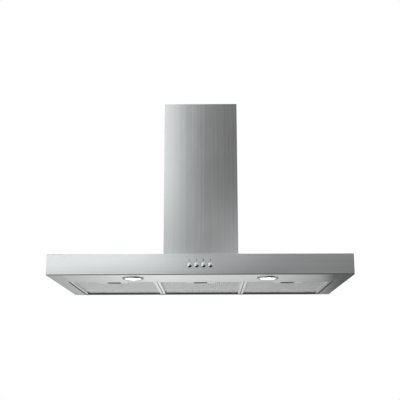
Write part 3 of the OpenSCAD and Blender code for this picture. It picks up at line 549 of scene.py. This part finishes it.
def galvanised(name, colour, scale=90.0, roughness=0.42):
    """Zinc coated sheet or steel"""
    net = Surface(name)
    zinc = net.group(zinc_spangle, Scale=scale, Roughness=roughness)
    return net.finish({
        "Base Color": net.mix_colour(zinc["Tone"], shaded(colour, 0.86), shaded(colour, 1.1)),
        "Roughness": zinc["Roughness"], "Metallic": 1.0,
        "Normal": net.bump(zinc["Height"], 0.02 * MM, 0.4),
    })


def moulded(name, colour, roughness=0.5, scale=1800.0, depth=0.03, coat=0.0, painted_side_shade=1.0):
    """Plastic, rubber or paint with a fine skin. walls paints shade on the faces that look sideways, as a share of
    the colour
    """
    net = Surface(name)
    skin = net.group(moulded_texture, Scale=scale, Roughness=roughness)
    colours = net.mix_colour(skin["Tone"], shaded(colour, 0.85), shaded(colour, 1.15))
    if painted_side_shade < 1:
        # Painted shade on the faces that look sideways
        colours = net.mix_colour(net.facing("Z"), shaded(colour, painted_side_shade), colours)
    return net.finish({
        "Base Color": colours, "Roughness": skin["Roughness"], "Coat Weight": coat,
        "Coat Roughness": 0.2, "Normal": net.bump(skin["Height"], depth * MM, 0.6),
    })


def polished(name, colour, roughness):
    """Bright metal with faint wipe marks"""
    net = Surface(name)
    marks = net.noise(net.place(), 60.0)
    return net.finish({
        "Base Color": net.mix_colour(marks, shaded(colour, 0.97), colour),
        "Roughness": net.ramp(marks, 0.3, 0.75, roughness, roughness * 1.8), "Metallic": 1.0,
    })


def folded_sides(net):
    """1 on the canopy's side walls and on the strips that are folded in under them"""
    strip_height = 10 * MM
    low = net.math("LESS_THAN", net.axes()["Z"], strip_height)
    strips = net.math("MULTIPLY", net.facing("Z"), low)
    return net.math("MAXIMUM", net.facing("X"), strips)


def inner_walls(net):
    """1 where shade is painted: the upright faces inside the canopy, its rear hem and the bends at the filters"""
    front_wall, rear_hem, hem_height, bend_width = -400 * MM, -5 * MM, 5 * MM, 6 * MM
    place, way = net.axes(), net.ways()
    inward = net.math("LESS_THAN", net.math("MULTIPLY", place["X"], way["X"]), 0.0)
    lips = net.math("MULTIPLY", net.facing("X"), inward)
    behind = net.math("GREATER_THAN", place["Y"], front_wall)
    rear = net.math("MULTIPLY", net.math("LESS_THAN", way["Y"], -0.5), behind)
    low = net.math("LESS_THAN", place["Z"], hem_height)
    hem = net.math("MULTIPLY", net.math("GREATER_THAN", place["Y"], rear_hem), low)
    filter_low, filter_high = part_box("filter_frame_right")
    width = filter_high.x + bend_width
    beside = net.math("LESS_THAN", net.math("ABSOLUTE", place["X"]), width)
    along = net.math("GREATER_THAN", place["Y"], filter_low.y)
    bends = net.join("MULTIPLY", beside, along, low)
    return net.join("MAXIMUM", lips, rear, hem, bends)


def rim_aluminium():
    """Folded sheet, bright on the sides, with painted shade and more roughness on its outer sides and its rear bar
    """
    net = Surface("filter_rim")
    colour = metals().aluminium
    outer_wall, rear_bar = 3 * MM, 20 * MM
    place = net.axes()
    low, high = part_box("filter_frame_centre")
    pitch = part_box("filter_frame_right")[0].x - low.x
    shifted = net.math("ADD", place["X"], 1.5 * pitch)
    off_centre = net.math("SUBTRACT", net.math("MODULO", shifted, pitch), pitch / 2)
    outer = net.math("GREATER_THAN", net.math("ABSOLUTE", off_centre), high.x - outer_wall)
    rear = net.math("GREATER_THAN", place["Y"], high.y - rear_bar)
    # Painted shade: the outer sides and the rear bar are darkened, and made rougher and not metal
    dull = net.math("MAXIMUM", net.math("MULTIPLY", net.facing("X"), outer), rear)
    rough, height, bright = grain(net, grain_stretch("X"), 0.24, colour, 1.08)
    return net.finish({
        "Base Color": net.mix_colour(dull, bright, shaded(colour, PAINTED_SHADE)),
        "Roughness": net.math("MULTIPLY_ADD", dull, DULL_ROUGHNESS, rough),
        "Metallic": net.math("SUBTRACT", 1.0, dull),
        "Normal": net.bump(height, 0.02 * MM, 0.3),
    })


def mesh_layers():
    """The inner layers of expanded mesh, as crossing strands with painted shade in the gaps between them"""
    net = Surface("filter_layers")
    axes = net.axes()
    strands = []
    for sign in (1, -1):
        slant = net.math("MULTIPLY", axes["Y"], sign * math.pi / parts().mesh_pitch_y)
        line = net.math("MULTIPLY_ADD", axes["X"], math.pi / parts().mesh_pitch_x, slant)
        strands.append(net.math("ABSOLUTE", net.math("SINE", line)))
    strand = net.ramp(net.math("MINIMUM", *strands), 0.2, 0.45, 1.0, 0.0)
    colour = metals().aluminium
    worn = net.noise(net.place(), 400.0)
    return net.finish({
        # Painted shade in the gaps between the strands
        "Base Color": net.mix_colour(strand, shaded(colour, 0.7), shaded(colour, 1.2)),
        "Roughness": net.ramp(worn, 0.3, 0.7, 0.35, 0.5), "Metallic": 1.0,
        "Normal": net.bump(strand, 0.4 * MM, 0.8),
    })


def expanded_metal():
    """Slit and stretched aluminium sheet, dull where it was cut"""
    net = Surface("expanded_metal")
    colour = metals().aluminium
    cut = net.noise(net.place(), 900.0)
    return net.finish({
        "Base Color": net.mix_colour(cut, shaded(colour, 1.15), shaded(colour, 1.3)),
        "Roughness": net.ramp(cut, 0.25, 0.75, 0.14, 0.22), "Metallic": 1.0,
        "Normal": net.bump(cut, 0.03 * MM, 0.3),
    })


def lit_glass():
    """Frosted lens, lit from behind up to its rim, with painted shade in its colour at the rim"""
    net = Surface("frosted_glass")
    lit_share, rim_share = 0.76, 0.86
    frost = net.noise(net.place(), 900.0)
    glow = net.mix_colour(frost, (0.97, 0.965, 0.95), (1.0, 1.0, 0.995))
    low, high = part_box("lamp_glass_right")
    middle, radius = (low + high) / 2, (high.x - low.x) / 2
    place = net.axes()
    off_x = net.math("SUBTRACT", net.math("ABSOLUTE", place["X"]), middle.x)
    off_y = net.math("SUBTRACT", place["Y"], middle.y)
    reach = net.add("ShaderNodeCombineXYZ", {0: off_x, 1: off_y}).outputs[0]
    reach = net.add("ShaderNodeVectorMath", {0: reach}, operation="LENGTH").outputs["Value"]
    rim = net.ramp(reach, radius * lit_share, radius * rim_share)
    return net.finish({
        # Painted shade: the colour darkens towards the rim, as the glow falls off
        "Base Color": net.mix_colour(rim, glow, (0.3, 0.3, 0.295)),
        "Emission Color": net.mix_colour(rim, glow, (0.1, 0.1, 0.098)),
        "Roughness": net.ramp(frost, 0.3, 0.7, 0.32, 0.48),
        "Emission Strength": 1.1, "Transmission Weight": 0.5,
    })


def lamp_reflector():
    """Lit bowl of a lamp"""
    net = Surface("lamp_reflector")
    facets = net.add("ShaderNodeTexVoronoi", {"Vector": net.place(), "Scale": 300.0})
    tone = net.ramp(facets.outputs["Distance"], 0.0, 0.8)
    return net.finish({
        "Base Color": net.mix_colour(tone, (1.0, 0.99, 0.97), (0.85, 0.84, 0.8)),
        "Emission Color": net.mix_colour(tone, (1.0, 0.98, 0.94), (0.9, 0.86, 0.8)),
        "Roughness": net.ramp(tone, 0.0, 1.0, 0.2, 0.4), "Emission Strength": 1.5,
    })


def made_once(make, name, *values, **settings):
    """The material of that name, made when it is first asked for"""
    return bpy.data.materials.get(name) or make(name, *values, **settings)


def screw_zinc():
    return made_once(galvanised, "screw_zinc", metals().zinc, scale=900.0, roughness=0.3)


def bright_steel():
    return made_once(polished, "bright_steel", BRIGHT_STEEL, 0.16)


def ink():
    return made_once(moulded, "printed_ink", plastics().print_ink, 0.55, 3000.0, depth=0.005)


def dress(slot, material):
    """Gives a material to every CAD node of one of the record's material slots"""
    wearers = [row["node"] for row in frame["record"]["subparts"] if row["material_slot"] == slot]
    if not wearers:
        raise RuntimeError(f"no part takes its finish from {slot}")
    for name in wearers:
        node = frame["nodes"][name]
        if not node.material_slots:
            node.data.materials.append(material)
        for taken in node.material_slots:
            taken.material = material


# Mesh helpers


class Maker:
    """Closed solids gathered into one mesh"""

    def __init__(self):
        self.points = []
        self.faces = []

    def loft(self, rings):
        """Joins rings of equal counts and closes both ends"""
        start, count = len(self.points), len(rings[0])
        for ring in rings:
            self.points.extend(Vector(point) for point in ring)
        for level in range(len(rings) - 1):
            low = start + level * count
            for i in range(count):
                j = (i + 1) % count
                self.faces.append((low + i, low + j, low + count + j, low + count + i))
        last = start + (len(rings) - 1) * count
        self.faces.append(tuple(range(start + count - 1, start - 1, -1)))
        self.faces.append(tuple(range(last, last + count)))

    def turned(self, centre, axis, profile, steps=None):
        """Rings of (height, radius) along an axis. A radius may be a function of the angle"""
        steps = steps or parts().turned_steps
        turn = Vector((0, 0, 1)).rotation_difference(Vector(axis)).to_matrix()
        rings = []
        for height, radius in profile:
            ring = []
            for i in range(steps):
                angle = math.tau * i / steps
                reach = radius(angle) if callable(radius) else radius
                point = Vector((reach * math.cos(angle), reach * math.sin(angle), height))
                ring.append(Vector(centre) + turn @ point)
            rings.append(ring)
        self.loft(rings)

    def bar(self, low, high, bevel):
        """A block with its upright edges cut off"""
        low, high = Vector(low), Vector(high)
        corners = [
            (low.x + bevel, low.y), (high.x - bevel, low.y), (high.x, low.y + bevel),
            (high.x, high.y - bevel), (high.x - bevel, high.y), (low.x + bevel, high.y),
            (low.x, high.y - bevel), (low.x, low.y + bevel),
        ]
        self.loft([[(x, y, z) for x, y in corners] for z in (low.z, high.z)])

    def piece(self, name, body, slot, material):
        """Makes the object, shades it and lets it ride on its body"""
        mesh = bpy.data.meshes.new(name)
        mesh.from_pydata(self.points, [], self.faces)
        mesh.materials.append(material)
        mesh.update()
        return finish_piece(name, mesh, body)


def new_object(name, data):
    made = bpy.data.objects.new(name, data)
    bpy.context.scene.collection.objects.link(made)
    return made


def finish_piece(name, mesh, body):
    piece = new_object(name, mesh)
    mesh.polygons.foreach_set("use_smooth", [True] * len(mesh.polygons))
    mesh.set_sharp_from_angle(angle=SMOOTH_ANGLE)
    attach(piece, body)
    return piece


def cross_outline(length, width):
    """Reach of a cross shaped recess at an angle"""

    def reach(angle):
        c, s = max(abs(math.cos(angle)), 1e-6), max(abs(math.sin(angle)), 1e-6)
        return max(min(length / c, width / s), min(length / s, width / c))

    return reach


def screw_profile(head):
    """A pan head with a cross recess"""
    radius, height = head / 2, head * 0.3
    cross = cross_outline(radius * 0.55, radius * 0.16)
    return [
        (-0.2 * MM, radius), (height * 0.45, radius), (height * 0.8, radius * 0.86),
        (height, radius * 0.62), (height, cross), (height * 0.35, cross),
    ]


def rivet_profile(head):
    radius, height = head / 2, head * 0.22
    return [
        (-0.2 * MM, radius), (height * 0.3, radius), (height * 0.75, radius * 0.8),
        (height, radius * 0.45), (height * 0.8, radius * 0.25), (height * 0.5, radius * 0.22),
    ]


def nut_profile(head):
    """A flange nut with a bore"""
    radius, height = head / 2, head * 0.45
    hexagon = hexagon_outline(radius)
    return [
        (-0.1 * MM, radius * 1.25), (height * 0.2, radius * 1.25), (height * 0.25, hexagon),
        (height, hexagon), (height, radius * 0.5), (height * 0.3, radius * 0.5),
    ]


def hexagon_outline(radius):
    """Reach of a hexagon at an angle"""

    def reach(angle):
        sector = math.tau / 6
        off = (angle % sector) - sector / 2
        return radius * math.cos(sector / 2) / math.cos(off)

    return reach


def add_screws(name, places, axis=(0, 0, 1)):
    """Pan head screws at the places, as one piece"""
    maker = Maker()
    for place in places:
        maker.turned(place, axis, screw_profile(parts().screw_head), SCREW_STEPS)
    maker.piece(name, "canopy", "screw_steel", screw_zinc())


# Stage and parts


class HOOD_OT_stage(bpy.types.Operator):
    """Camera, floor, lamps and the cards that the metal reflects"""

    bl_idname = "hood.stage"
    bl_label = "Stage"

    def execute(self, context):
        set_camera()
        set_world()
        add_floor()
        add_lamps()
        add_card("front_card", (0.5, -1.3, 0.8), (2.1, 0, 0), (0, 0, 1.1), front_light)
        add_card("rear_card", (0, 1, -0.34), (2.2, 0, 0), (0, 0, 0.44), rear_light)
        add_card("low_card", (1.1, -1.6, -0.78), (1.8, 0, 0), (0, 1.25, 0), low_light)
        return {"FINISHED"}


def set_camera():
    chosen = stage()
    lens = bpy.data.cameras.new("camera")
    lens.lens, lens.sensor_width = chosen.lens, SENSOR_WIDTH
    lens.shift_y = chosen.camera_shift
    camera = new_object("camera", lens)
    camera.location = chosen.camera_place
    camera.rotation_mode = "QUATERNION"
    aim = Vector(chosen.camera_aim)
    roll = Matrix.Rotation(chosen.camera_roll, 3, aim).to_quaternion()
    camera.rotation_quaternion = roll @ aim.to_track_quat("-Z", "Y")
    bpy.context.scene.camera = camera
    bpy.context.scene.view_settings.view_transform = "Standard"


def seen_direct(net):
    """1 for the rays that see the background: camera, glossy and transmission rays"""
    path = net.add("ShaderNodeLightPath").outputs
    kinds = ("Is Camera Ray", "Is Glossy Ray", "Is Transmission Ray")
    return net.join("MAXIMUM", *(path[kind] for kind in kinds))


def set_world():
    world = bpy.data.worlds.new("studio")
    world.use_nodes = True
    net = Net(world.node_tree)
    world.node_tree.nodes.clear()
    even, white = (
        net.add("ShaderNodeBackground", {"Color": WHITE, "Strength": strength}).outputs[0]
        for strength in (stage().ambient, 1.0)
    )
    mixed = net.add("ShaderNodeMixShader", {0: seen_direct(net), 1: even, 2: white})
    net.add("ShaderNodeOutputWorld", {"Surface": mixed.outputs[0]})
    bpy.context.scene.world = world


def stage_plane(name, centre, across, up, material):
    """A flat four sided sheet. across and up are half its sides"""
    centre, across, up = Vector(centre), Vector(across), Vector(up)
    corners = [centre + a * across + u * up for a, u in ((-1, -1), (1, -1), (1, 1), (-1, 1))]
    mesh = bpy.data.meshes.new(name)
    mesh.from_pydata(corners, [], [(0, 1, 2, 3)])
    mesh.materials.append(material)
    plane = new_object(name, mesh)
    return plane


def add_floor():
    """Pale floor that keeps the shadow and fades into the white background"""
    chosen, radius = stage(), stage().floor_radius
    net = Surface("floor")
    place = net.add("ShaderNodeNewGeometry").outputs["Position"]
    reach = net.add("ShaderNodeVectorMath", {0: place}, operation="LENGTH").outputs["Value"]
    material = net.finish({
        "Base Color": rgba(chosen.floor_colour), "Roughness": 0.9,
        "Alpha": net.ramp(reach, radius * 0.3, radius, 1.0, 0.0),
    })
    stage_plane("floor", (0, 0, chosen.floor_z), (radius, 0, 0), (0, radius, 0), material)


def add_lamps():
    chosen = stage()
    lamps = [
        ("key_lamp", chosen.key_power, (-1.9, -2.5, 1.7), 1.5),
        ("fill_lamp", chosen.fill_power, (2.2, -2.1, 0.7), 1.4),
        ("top_lamp", chosen.top_power, (0.3, -0.4, 2.9), 1.6),
        ("rear_lamp", chosen.rear_power, (-0.9, 2.8, 1.5), 1.5),
        ("low_lamp", chosen.low_power, (-0.5, -1.3, -0.7), 0.9),
    ]
    target = (cad_box[0] + cad_box[1]) / 2
    for name, power, place, size in lamps:
        light = bpy.data.lights.new(name, "AREA")
        light.energy, light.shape, light.size = power, "SQUARE", size
        lamp = new_object(name, light)
        lamp.location = place
        lamp.rotation_mode = "QUATERNION"
        lamp.rotation_quaternion = (target - Vector(place)).to_track_quat("-Z", "Y")
        lamp.visible_camera = False
        lamp.visible_glossy = name == "key_lamp"


def add_card(name, centre, across, up, light_at):
    """A card that only shows in reflections. light_at gives its light from the place on it"""
    net = Surface(name)
    net.tree.nodes.clear()
    place = net.split(net.add("ShaderNodeNewGeometry").outputs["Position"])
    light = net.add("ShaderNodeEmission", {"Strength": light_at(net, place["X"], place["Z"])})
    net.add("ShaderNodeOutputMaterial", {"Surface": light.outputs[0]})
    card = stage_plane(name, centre, across, up, net.material)
    card.visible_camera = card.visible_diffuse = False
    card.visible_transmission = card.visible_shadow = False


def front_light(net, across, height):
    """Light of the card in front, bright on the left and dark on the right. The front panel shows
    its lower part, the chimney its upper part, and the tops of the buttons what is above both"""
    panel = net.curve(across, [
        (-0.8, 1.0), (-0.6, 1.0), (-0.49, 0.95), (-0.37, 0.86), (-0.25, 0.85), (-0.15, 0.755),
        (-0.07, 0.62), (0.07, 0.47), (0.17, 0.32), (0.27, 0.225), (0.37, 0.19), (0.57, 0.145),
        (0.8, 0.1), (1.3, 0.03),
    ])
    chimney_foot = net.curve(across, [
        (-0.8, 0.143), (-0.45, 0.355), (-0.25, 0.355), (-0.16, 0.295), (-0.09, 0.195),
        (-0.013, 0.103), (0.06, 0.155), (0.14, 0.265), (0.25, 0.32),
    ])
    chimney_top = net.curve(across, [
        (-0.8, 0.19), (-0.45, 0.62), (-0.25, 0.62), (-0.16, 0.485), (-0.09, 0.208),
        (-0.013, 0.1), (0.06, 0.095), (0.14, 0.098), (0.25, 0.085),
    ])
    above = net.curve(across, [
        (-0.8, 0.3), (-0.3, 0.9), (-0.1, 0.8), (0.1, 0.85), (0.4, 1.0), (0.9, 0.3),
    ])
    chimney = net.blend(net.span(height, 0.25, 0.65), chimney_foot, chimney_top)
    chimney = net.blend(net.span(height, 1.5, 1.62), chimney, above)
    tilt = net.blend(net.span(across, 0.2, 0.4), 1.0, net.span(height, 0.11, 0.2, 1.2, 0.7))
    panel = net.math("MULTIPLY", panel, tilt)
    light = net.blend(net.span(height, 0.205, 0.235), panel, chimney)
    fade_left = net.span(height, 0.038, 0.216, 0.0, 1.2)
    fade_right = net.span(height, -0.04, 0.06, 0.1, 1.0)
    fade = net.blend(net.span(across, 0.1, 0.45), fade_left, fade_right)
    foot = net.span(height, -0.04, 0.015, 0.6, 0.0)
    fade = net.math("MAXIMUM", fade, foot)
    return net.join("MULTIPLY", light, fade, stage().front_card)


def rear_light(net, across, height):
    """Light of the card behind the wall plane, dark on the right, which the underside reflects"""
    light = net.curve(across, [
        (-1.1, 0.2), (-0.9, 0.3), (-0.67, 0.62), (-0.53, 0.74), (-0.38, 0.9), (-0.2, 0.96),
        (0.0, 0.84), (0.1, 0.8), (0.22, 0.77), (0.353, 0.69), (0.475, 0.54), (0.572, 0.42),
        (0.64, 0.13), (0.9, 0.05),
    ])
    upward = net.span(height, -0.24, -0.09, 1.15, 0.55)
    return net.join("MULTIPLY", light, upward, stage().rear_card)


def low_light(net, across, height):
    """Light of the dark card low in front, for the lower edges of the buttons and the panel"""
    return net.ramp(across, -1.0, 0.3, 0.12, 0.01)


class HOOD_OT_sheet(bpy.types.Operator):
    """Brushed sheet of the canopy and the chimney"""

    bl_idname = "hood.sheet"
    bl_label = "Sheet"

    def execute(self, context):
        colours = metals()
        dress("stainless", brushed("stainless_shell", colours.shell, 0.24, 0.5, folded=True))
        dress("stainless_front", brushed("stainless_front", colours.steel, 0.2, 0.45, lower_edge_shade=1.0))
        dress("stainless_under", brushed("stainless_under", colours.steel, 0.17, 0.4))
        chimney = brushed("stainless_chimney", colours.steel, 0.2, 0.3, "Z", (1, 1, 0))
        dress("stainless_chimney", chimney)
        dress("galvanised", galvanised("galvanised", colours.zinc))
        return {"FINISHED"}


class HOOD_OT_buttons(bpy.types.Operator):
    """Chrome buttons, their guides, and a plain number above each"""

    bl_idname = "hood.buttons"
    bl_label = "Buttons"

    def execute(self, context):
        dress("chrome", polished("chrome", metals().chrome, 0.06))
        dress("switch_plastic", moulded("switch_plastic", plastics().switch, 0.45))
        panel_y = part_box("front_panel")[0].y
        for number in BUTTONS:
            low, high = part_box(f"button_{number}")
            add_number(number, (low + high) / 2, panel_y)
        return {"FINISHED"}


def add_number(number, button, panel_y):
    """A printed number, as a film on the panel above its button"""
    chosen = parts()
    size_for_height, film, boldness, gap = 1.4, 0.03 * MM, 0.25 * MM, 0.02 * MM
    text = bpy.data.curves.new(f"number_{number}", "FONT")
    text.body = str(number)
    text.size = chosen.digit_height * size_for_height
    text.align_x, text.align_y = "CENTER", "CENTER"
    text.extrude, text.offset = film, boldness
    drawn = new_object(f"number_{number}", text)
    graph = bpy.context.evaluated_depsgraph_get()
    mesh = bpy.data.meshes.new_from_object(drawn.evaluated_get(graph))
    bpy.data.objects.remove(drawn)
    place = Vector((button.x, panel_y - gap, button.z + chosen.digit_rise))
    mesh.transform(Matrix.Translation(place) @ Matrix.Rotation(math.radians(90), 4, "X"))
    mesh.materials.clear()
    mesh.materials.append(ink())
    finish_piece(f"button_number_{number}", mesh, "canopy")


class HOOD_OT_lamps(bpy.types.Operator):
    """Lit lamps with their bezels"""

    bl_idname = "hood.lamps"
    bl_label = "Lamps"

    def execute(self, context):
        dress("bezel", polished("bezel", metals().bezel, 0.22))
        dress("frosted_glass", lit_glass())
        dress("lamp_glow", lamp_reflector())
        return {"FINISHED"}


class HOOD_OT_filters(bpy.types.Operator):
    """Filters with their facing of expanded metal, cups and bolts"""

    bl_idname = "hood.filters"
    bl_label = "Filters"

    def execute(self, context):
        dress("filter_rim", rim_aluminium())
        dress("filter_mesh", mesh_layers())
        dress("latch_cup", moulded("latch_cup", plastics().cup, 0.4, painted_side_shade=0.08))
        dress("latch_bolt", moulded("latch_bolt", plastics().bolt, 0.45))
        metal = expanded_metal()
        for side in SIDES:
            add_facing(side, metal)
        return {"FINISHED"}


def add_facing(side, metal):
    """Expanded metal on the filter's lower face, cut out round the latch cup"""
    chosen = parts()
    rim_low, rim_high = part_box(f"filter_frame_{side}")
    cup_low, cup_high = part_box(f"latch_cup_{side}")
    layer_low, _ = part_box(f"filter_mesh_{side}")
    inset, bead, layer_gap, thickness = 8.1 * MM, 6.5 * MM, 0.7 * MM, 0.5 * MM
    low = Vector((rim_low.x + inset, rim_low.y + inset))
    high = Vector((rim_high.x - inset, rim_high.y - inset - bead))
    gap, lift, strand = 0.6 * MM, 0.07 * MM, chosen.strand
    columns = 2 * round((high.x - low.x) / chosen.mesh_pitch_x)
    rows = 2 * round((high.y - low.y) / chosen.mesh_pitch_y)
    half_x, half_y = (high.x - low.x) / columns, (high.y - low.y) / rows
    shrink = 1 - strand / half_y
    level = layer_low.z - layer_gap
    maker = Maker()
    for row in range(rows + 1):
        for column in range(columns + 1):
            x, y = low.x + column * half_x, low.y + row * half_y
            clear = x + half_x < cup_low.x - gap or x - half_x > cup_high.x + gap
            clear = clear or y - half_y > cup_high.y + gap
            if (row + column) % 2 == 0 or not clear:
                continue
            start = len(maker.points)
            for scale, margin in ((1, 0), (shrink, strand)):
                for cx, cy in ((1, 0), (0, 1), (-1, 0), (0, -1)):
                    z = level + lift * (cy if scale == 1 else -cy)
                    maker.points.append(Vector((
                        min(max(x + cx * scale * half_x, low.x + margin), high.x - margin),
                        min(max(y + cy * scale * half_y, low.y + margin), high.y - margin), z,
                    )))
            for i in range(4):
                j = (i + 1) % 4
                maker.faces.append((start + i, start + 4 + i, start + 4 + j, start + j))
    piece = maker.piece(f"filter_facing_{side}", f"filter_{side}", "filter_mesh", metal)
    thicken = piece.modifiers.new("thickness", "SOLIDIFY")
    thicken.thickness, thicken.offset = thickness, 1.0


class HOOD_OT_blower(bpy.types.Operator):
    """Blower with its motor, nuts and clips"""

    bl_idname = "hood.blower"
    bl_label = "Blower"

    def execute(self, context):
        colours, paint = plastics(), metals().motor
        dress("black_plastic", moulded("black_plastic", colours.black, scale=1500.0))
        dress("impeller_plastic", moulded("impeller_plastic", colours.impeller, 0.3, 2500.0))
        dress("motor_steel", moulded("motor_paint", paint, 0.4, 1200.0, depth=0.02, coat=0.3))
        dress("bright_steel", bright_steel())
        dress("rubber", moulded("rubber", RUBBER, 0.8, 900.0, depth=0.05))
        add_motor_nuts()
        add_scroll_clips()
        return {"FINISHED"}


def add_motor_nuts():
    """Nuts that hold the motor bracket on its grommets"""
    shaft = joint_place("impeller_spin")
    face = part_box("motor_bracket")[0].x
    grommet_radius, nut_head, nut_steps = 7 * MM, 7 * MM, 24
    reach = shaft.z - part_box("motor_grommets")[0].z - grommet_radius
    maker = Maker()
    for i in range(3):
        angle = math.radians(30 + 120 * i)
        centre = (face, shaft.y + reach * math.cos(angle), shaft.z + reach * math.sin(angle))
        maker.turned(centre, (-1, 0, 0), nut_profile(nut_head), nut_steps)
    maker.piece("motor_nuts", "canopy", "screw_steel", screw_zinc())


def add_scroll_clips():
    """Spring clips that hold the two halves of the scroll together"""
    shaft = joint_place("impeller_spin")
    first_radius, last_radius, tongue, wall = 66 * MM, 92 * MM, 70.0, 1.5 * MM
    half_length, half_width, thickness, gap = 6 * MM, 4 * MM, 1.2 * MM, 0.1 * MM
    outline = [
        (-half_length, 0), (-half_length, thickness), (-half_length * 0.6, thickness * 1.3),
        (half_length * 0.6, thickness * 1.3), (half_length, thickness), (half_length, 0),
    ]
    maker = Maker()
    for degrees in (125, 215, 250, 290, 330):
        angle = math.radians(degrees)
        radius = first_radius + (last_radius - first_radius) * (degrees - tongue) / (360 - tongue)
        out = Vector((0, math.cos(angle), math.sin(angle)))
        along = Vector((0, -math.sin(angle), math.cos(angle)))
        middle = shaft + out * (radius + wall + gap)
        middle.x = 0
        maker.loft([
            [
                middle + Vector((x, 0, 0)) + out * height + along * side * half_width
                for x, height in outline
            ]
            for side in (-1, 1)
        ])
    maker.piece("scroll_clips", "canopy", "bright_steel", bright_steel())


class HOOD_OT_outlet(bpy.types.Operator):
    """Duct collar with its screws, and the backdraft flaps"""

    bl_idname = "hood.outlet"
    bl_label = "Outlet"

    def execute(self, context):
        dress("flap_plastic", moulded("flap_plastic", plastics().flap, 0.45))
        low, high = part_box("outlet_collar")
        centre = joint_place("flap_front_swing")
        reach = ((high.x - low.x) / 2 + mount_size("duct_collar", "r_mm")) / 2
        flange_thickness = 2 * MM
        level = low.z + flange_thickness
        angles = [math.radians(45 + 90 * i) for i in range(4)]
        add_screws("collar_screws", [
            (reach * math.cos(angle), centre.y + reach * math.sin(angle), level) for angle in angles
        ])
        return {"FINISHED"}


class HOOD_OT_electrics(bpy.types.Operator):
    """Terminal box, gland, capacitor and lamp driver, with their screws and tabs"""

    bl_idname = "hood.electrics"
    bl_label = "Electrics"

    def execute(self, context):
        colours = plastics()
        dress("box_plastic", moulded("box_plastic", colours.box, 0.45, 1400.0))
        dress("white_plastic", moulded("white_plastic", colours.white, 0.35, 2200.0, depth=0.015))
        add_end_screws("box_screws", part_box("terminal_box"), inset=9 * MM)
        add_capacitor_tabs()
        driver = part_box("lamp_transformer")
        add_end_screws("driver_screws", driver, inset=8 * MM, drop=3 * MM, way=-1)
        add_gland_seal()
        return {"FINISHED"}


def add_end_screws(name, box, inset, drop=0.0, way=1):
    """A screw near each end of a box, drop below its top, with its head up or down"""
    low, high = box
    ends = (low.x + inset, high.x - inset)
    add_screws(name, [(x, (low.y + high.y) / 2, high.z - drop) for x in ends], (0, 0, way))


def add_capacitor_tabs():
    """Two flat tabs on the capacitor's neck"""
    low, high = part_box("capacitor")
    middle = (low + high) / 2
    half_pitch, half_width, half_thickness, height = 3.2 * MM, 2.4 * MM, 0.4 * MM, 8 * MM
    sunk = bevel = 0.2 * MM
    maker = Maker()
    for x in (middle.x - half_pitch, middle.x + half_pitch):
        maker.bar(
            (x - half_thickness, middle.y - half_width, high.z - sunk),
            (x + half_thickness, middle.y + half_width, high.z + height), bevel,
        )
    maker.piece("capacitor_tabs", "canopy", "bright_steel", bright_steel())


def add_gland_seal():
    """Rubber ring inside the gland's bore"""
    low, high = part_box("cable_gland")
    middle = (low + high) / 2
    outer, inner, depth, groove, inset = 3.9 * MM, 2.9 * MM, 9 * MM, 0.5 * MM, 0.8 * MM
    maker = Maker()
    maker.turned(
        (low.x + inset, middle.y, middle.z), (1, 0, 0),
        [(0, inner), (0, outer), (depth, outer), (depth, inner), (groove, inner * 0.98)],
    )
    maker.piece("gland_seal", "canopy", "rubber", bpy.data.materials["rubber"])


class HOOD_OT_fixings(bpy.types.Operator):
    """Screws and rivets"""

    bl_idname = "hood.fixings"
    bl_label = "Fixings"

    def execute(self, context):
        dress("screw_steel", screw_zinc())
        low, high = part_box("hinge_rail")
        count, inset, drop, thickness = 7, 25 * MM, 6 * MM, 1 * MM
        maker = Maker()
        for i in range(count):
            x = low.x + inset + (high.x - low.x - 2 * inset) * i / (count - 1)
            place = (x, high.y - thickness, high.z - drop)
            maker.turned(place, (0, -1, 0), rivet_profile(parts().rivet_head))
        maker.piece("rail_rivets", "canopy", "screw_steel", screw_zinc())
        return {"FINISHED"}


class HOOD_PT_sidebar(bpy.types.Panel):
    """The parts of the hood, one button each"""

    bl_label = "Range hood"
    bl_space_type = "VIEW_3D"
    bl_region_type = "UI"
    bl_category = "Hood"

    def draw(self, context):
        layout = self.layout
        for operator in OPERATORS:
            layout.operator(operator.bl_idname)
        for group in SETTINGS:
            settings = getattr(context.scene, group)
            box = layout.box()
            for name in settings.__annotations__:
                box.prop(settings, name)


OPERATORS = (
    HOOD_OT_stage, HOOD_OT_sheet, HOOD_OT_buttons, HOOD_OT_lamps, HOOD_OT_filters,
    HOOD_OT_blower, HOOD_OT_outlet, HOOD_OT_electrics, HOOD_OT_fixings,
)
SETTINGS = {
    "hood_stage": HoodStageSettings,
    "hood_metals": HoodMetalSettings,
    "hood_plastics": HoodPlasticSettings,
    "hood_parts": HoodPartSettings,
}
CLASSES = (*SETTINGS.values(), *OPERATORS, HOOD_PT_sidebar)


def register():
    for cls in CLASSES:
        bpy.utils.register_class(cls)
    for name, cls in SETTINGS.items():
        setattr(bpy.types.Scene, name, PointerProperty(type=cls))


def unregister():
    for name in SETTINGS:
        delattr(bpy.types.Scene, name)
    for cls in reversed(CLASSES):
        bpy.utils.unregister_class(cls)


def main():
    register()
    bpy.ops.hood.stage()
    bpy.ops.hood.sheet()
    bpy.ops.hood.buttons()
    bpy.ops.hood.lamps()
    bpy.ops.hood.filters()
    bpy.ops.hood.blower()
    bpy.ops.hood.outlet()
    bpy.ops.hood.electrics()
    bpy.ops.hood.fixings()


if __name__ == "__main__":
    main()
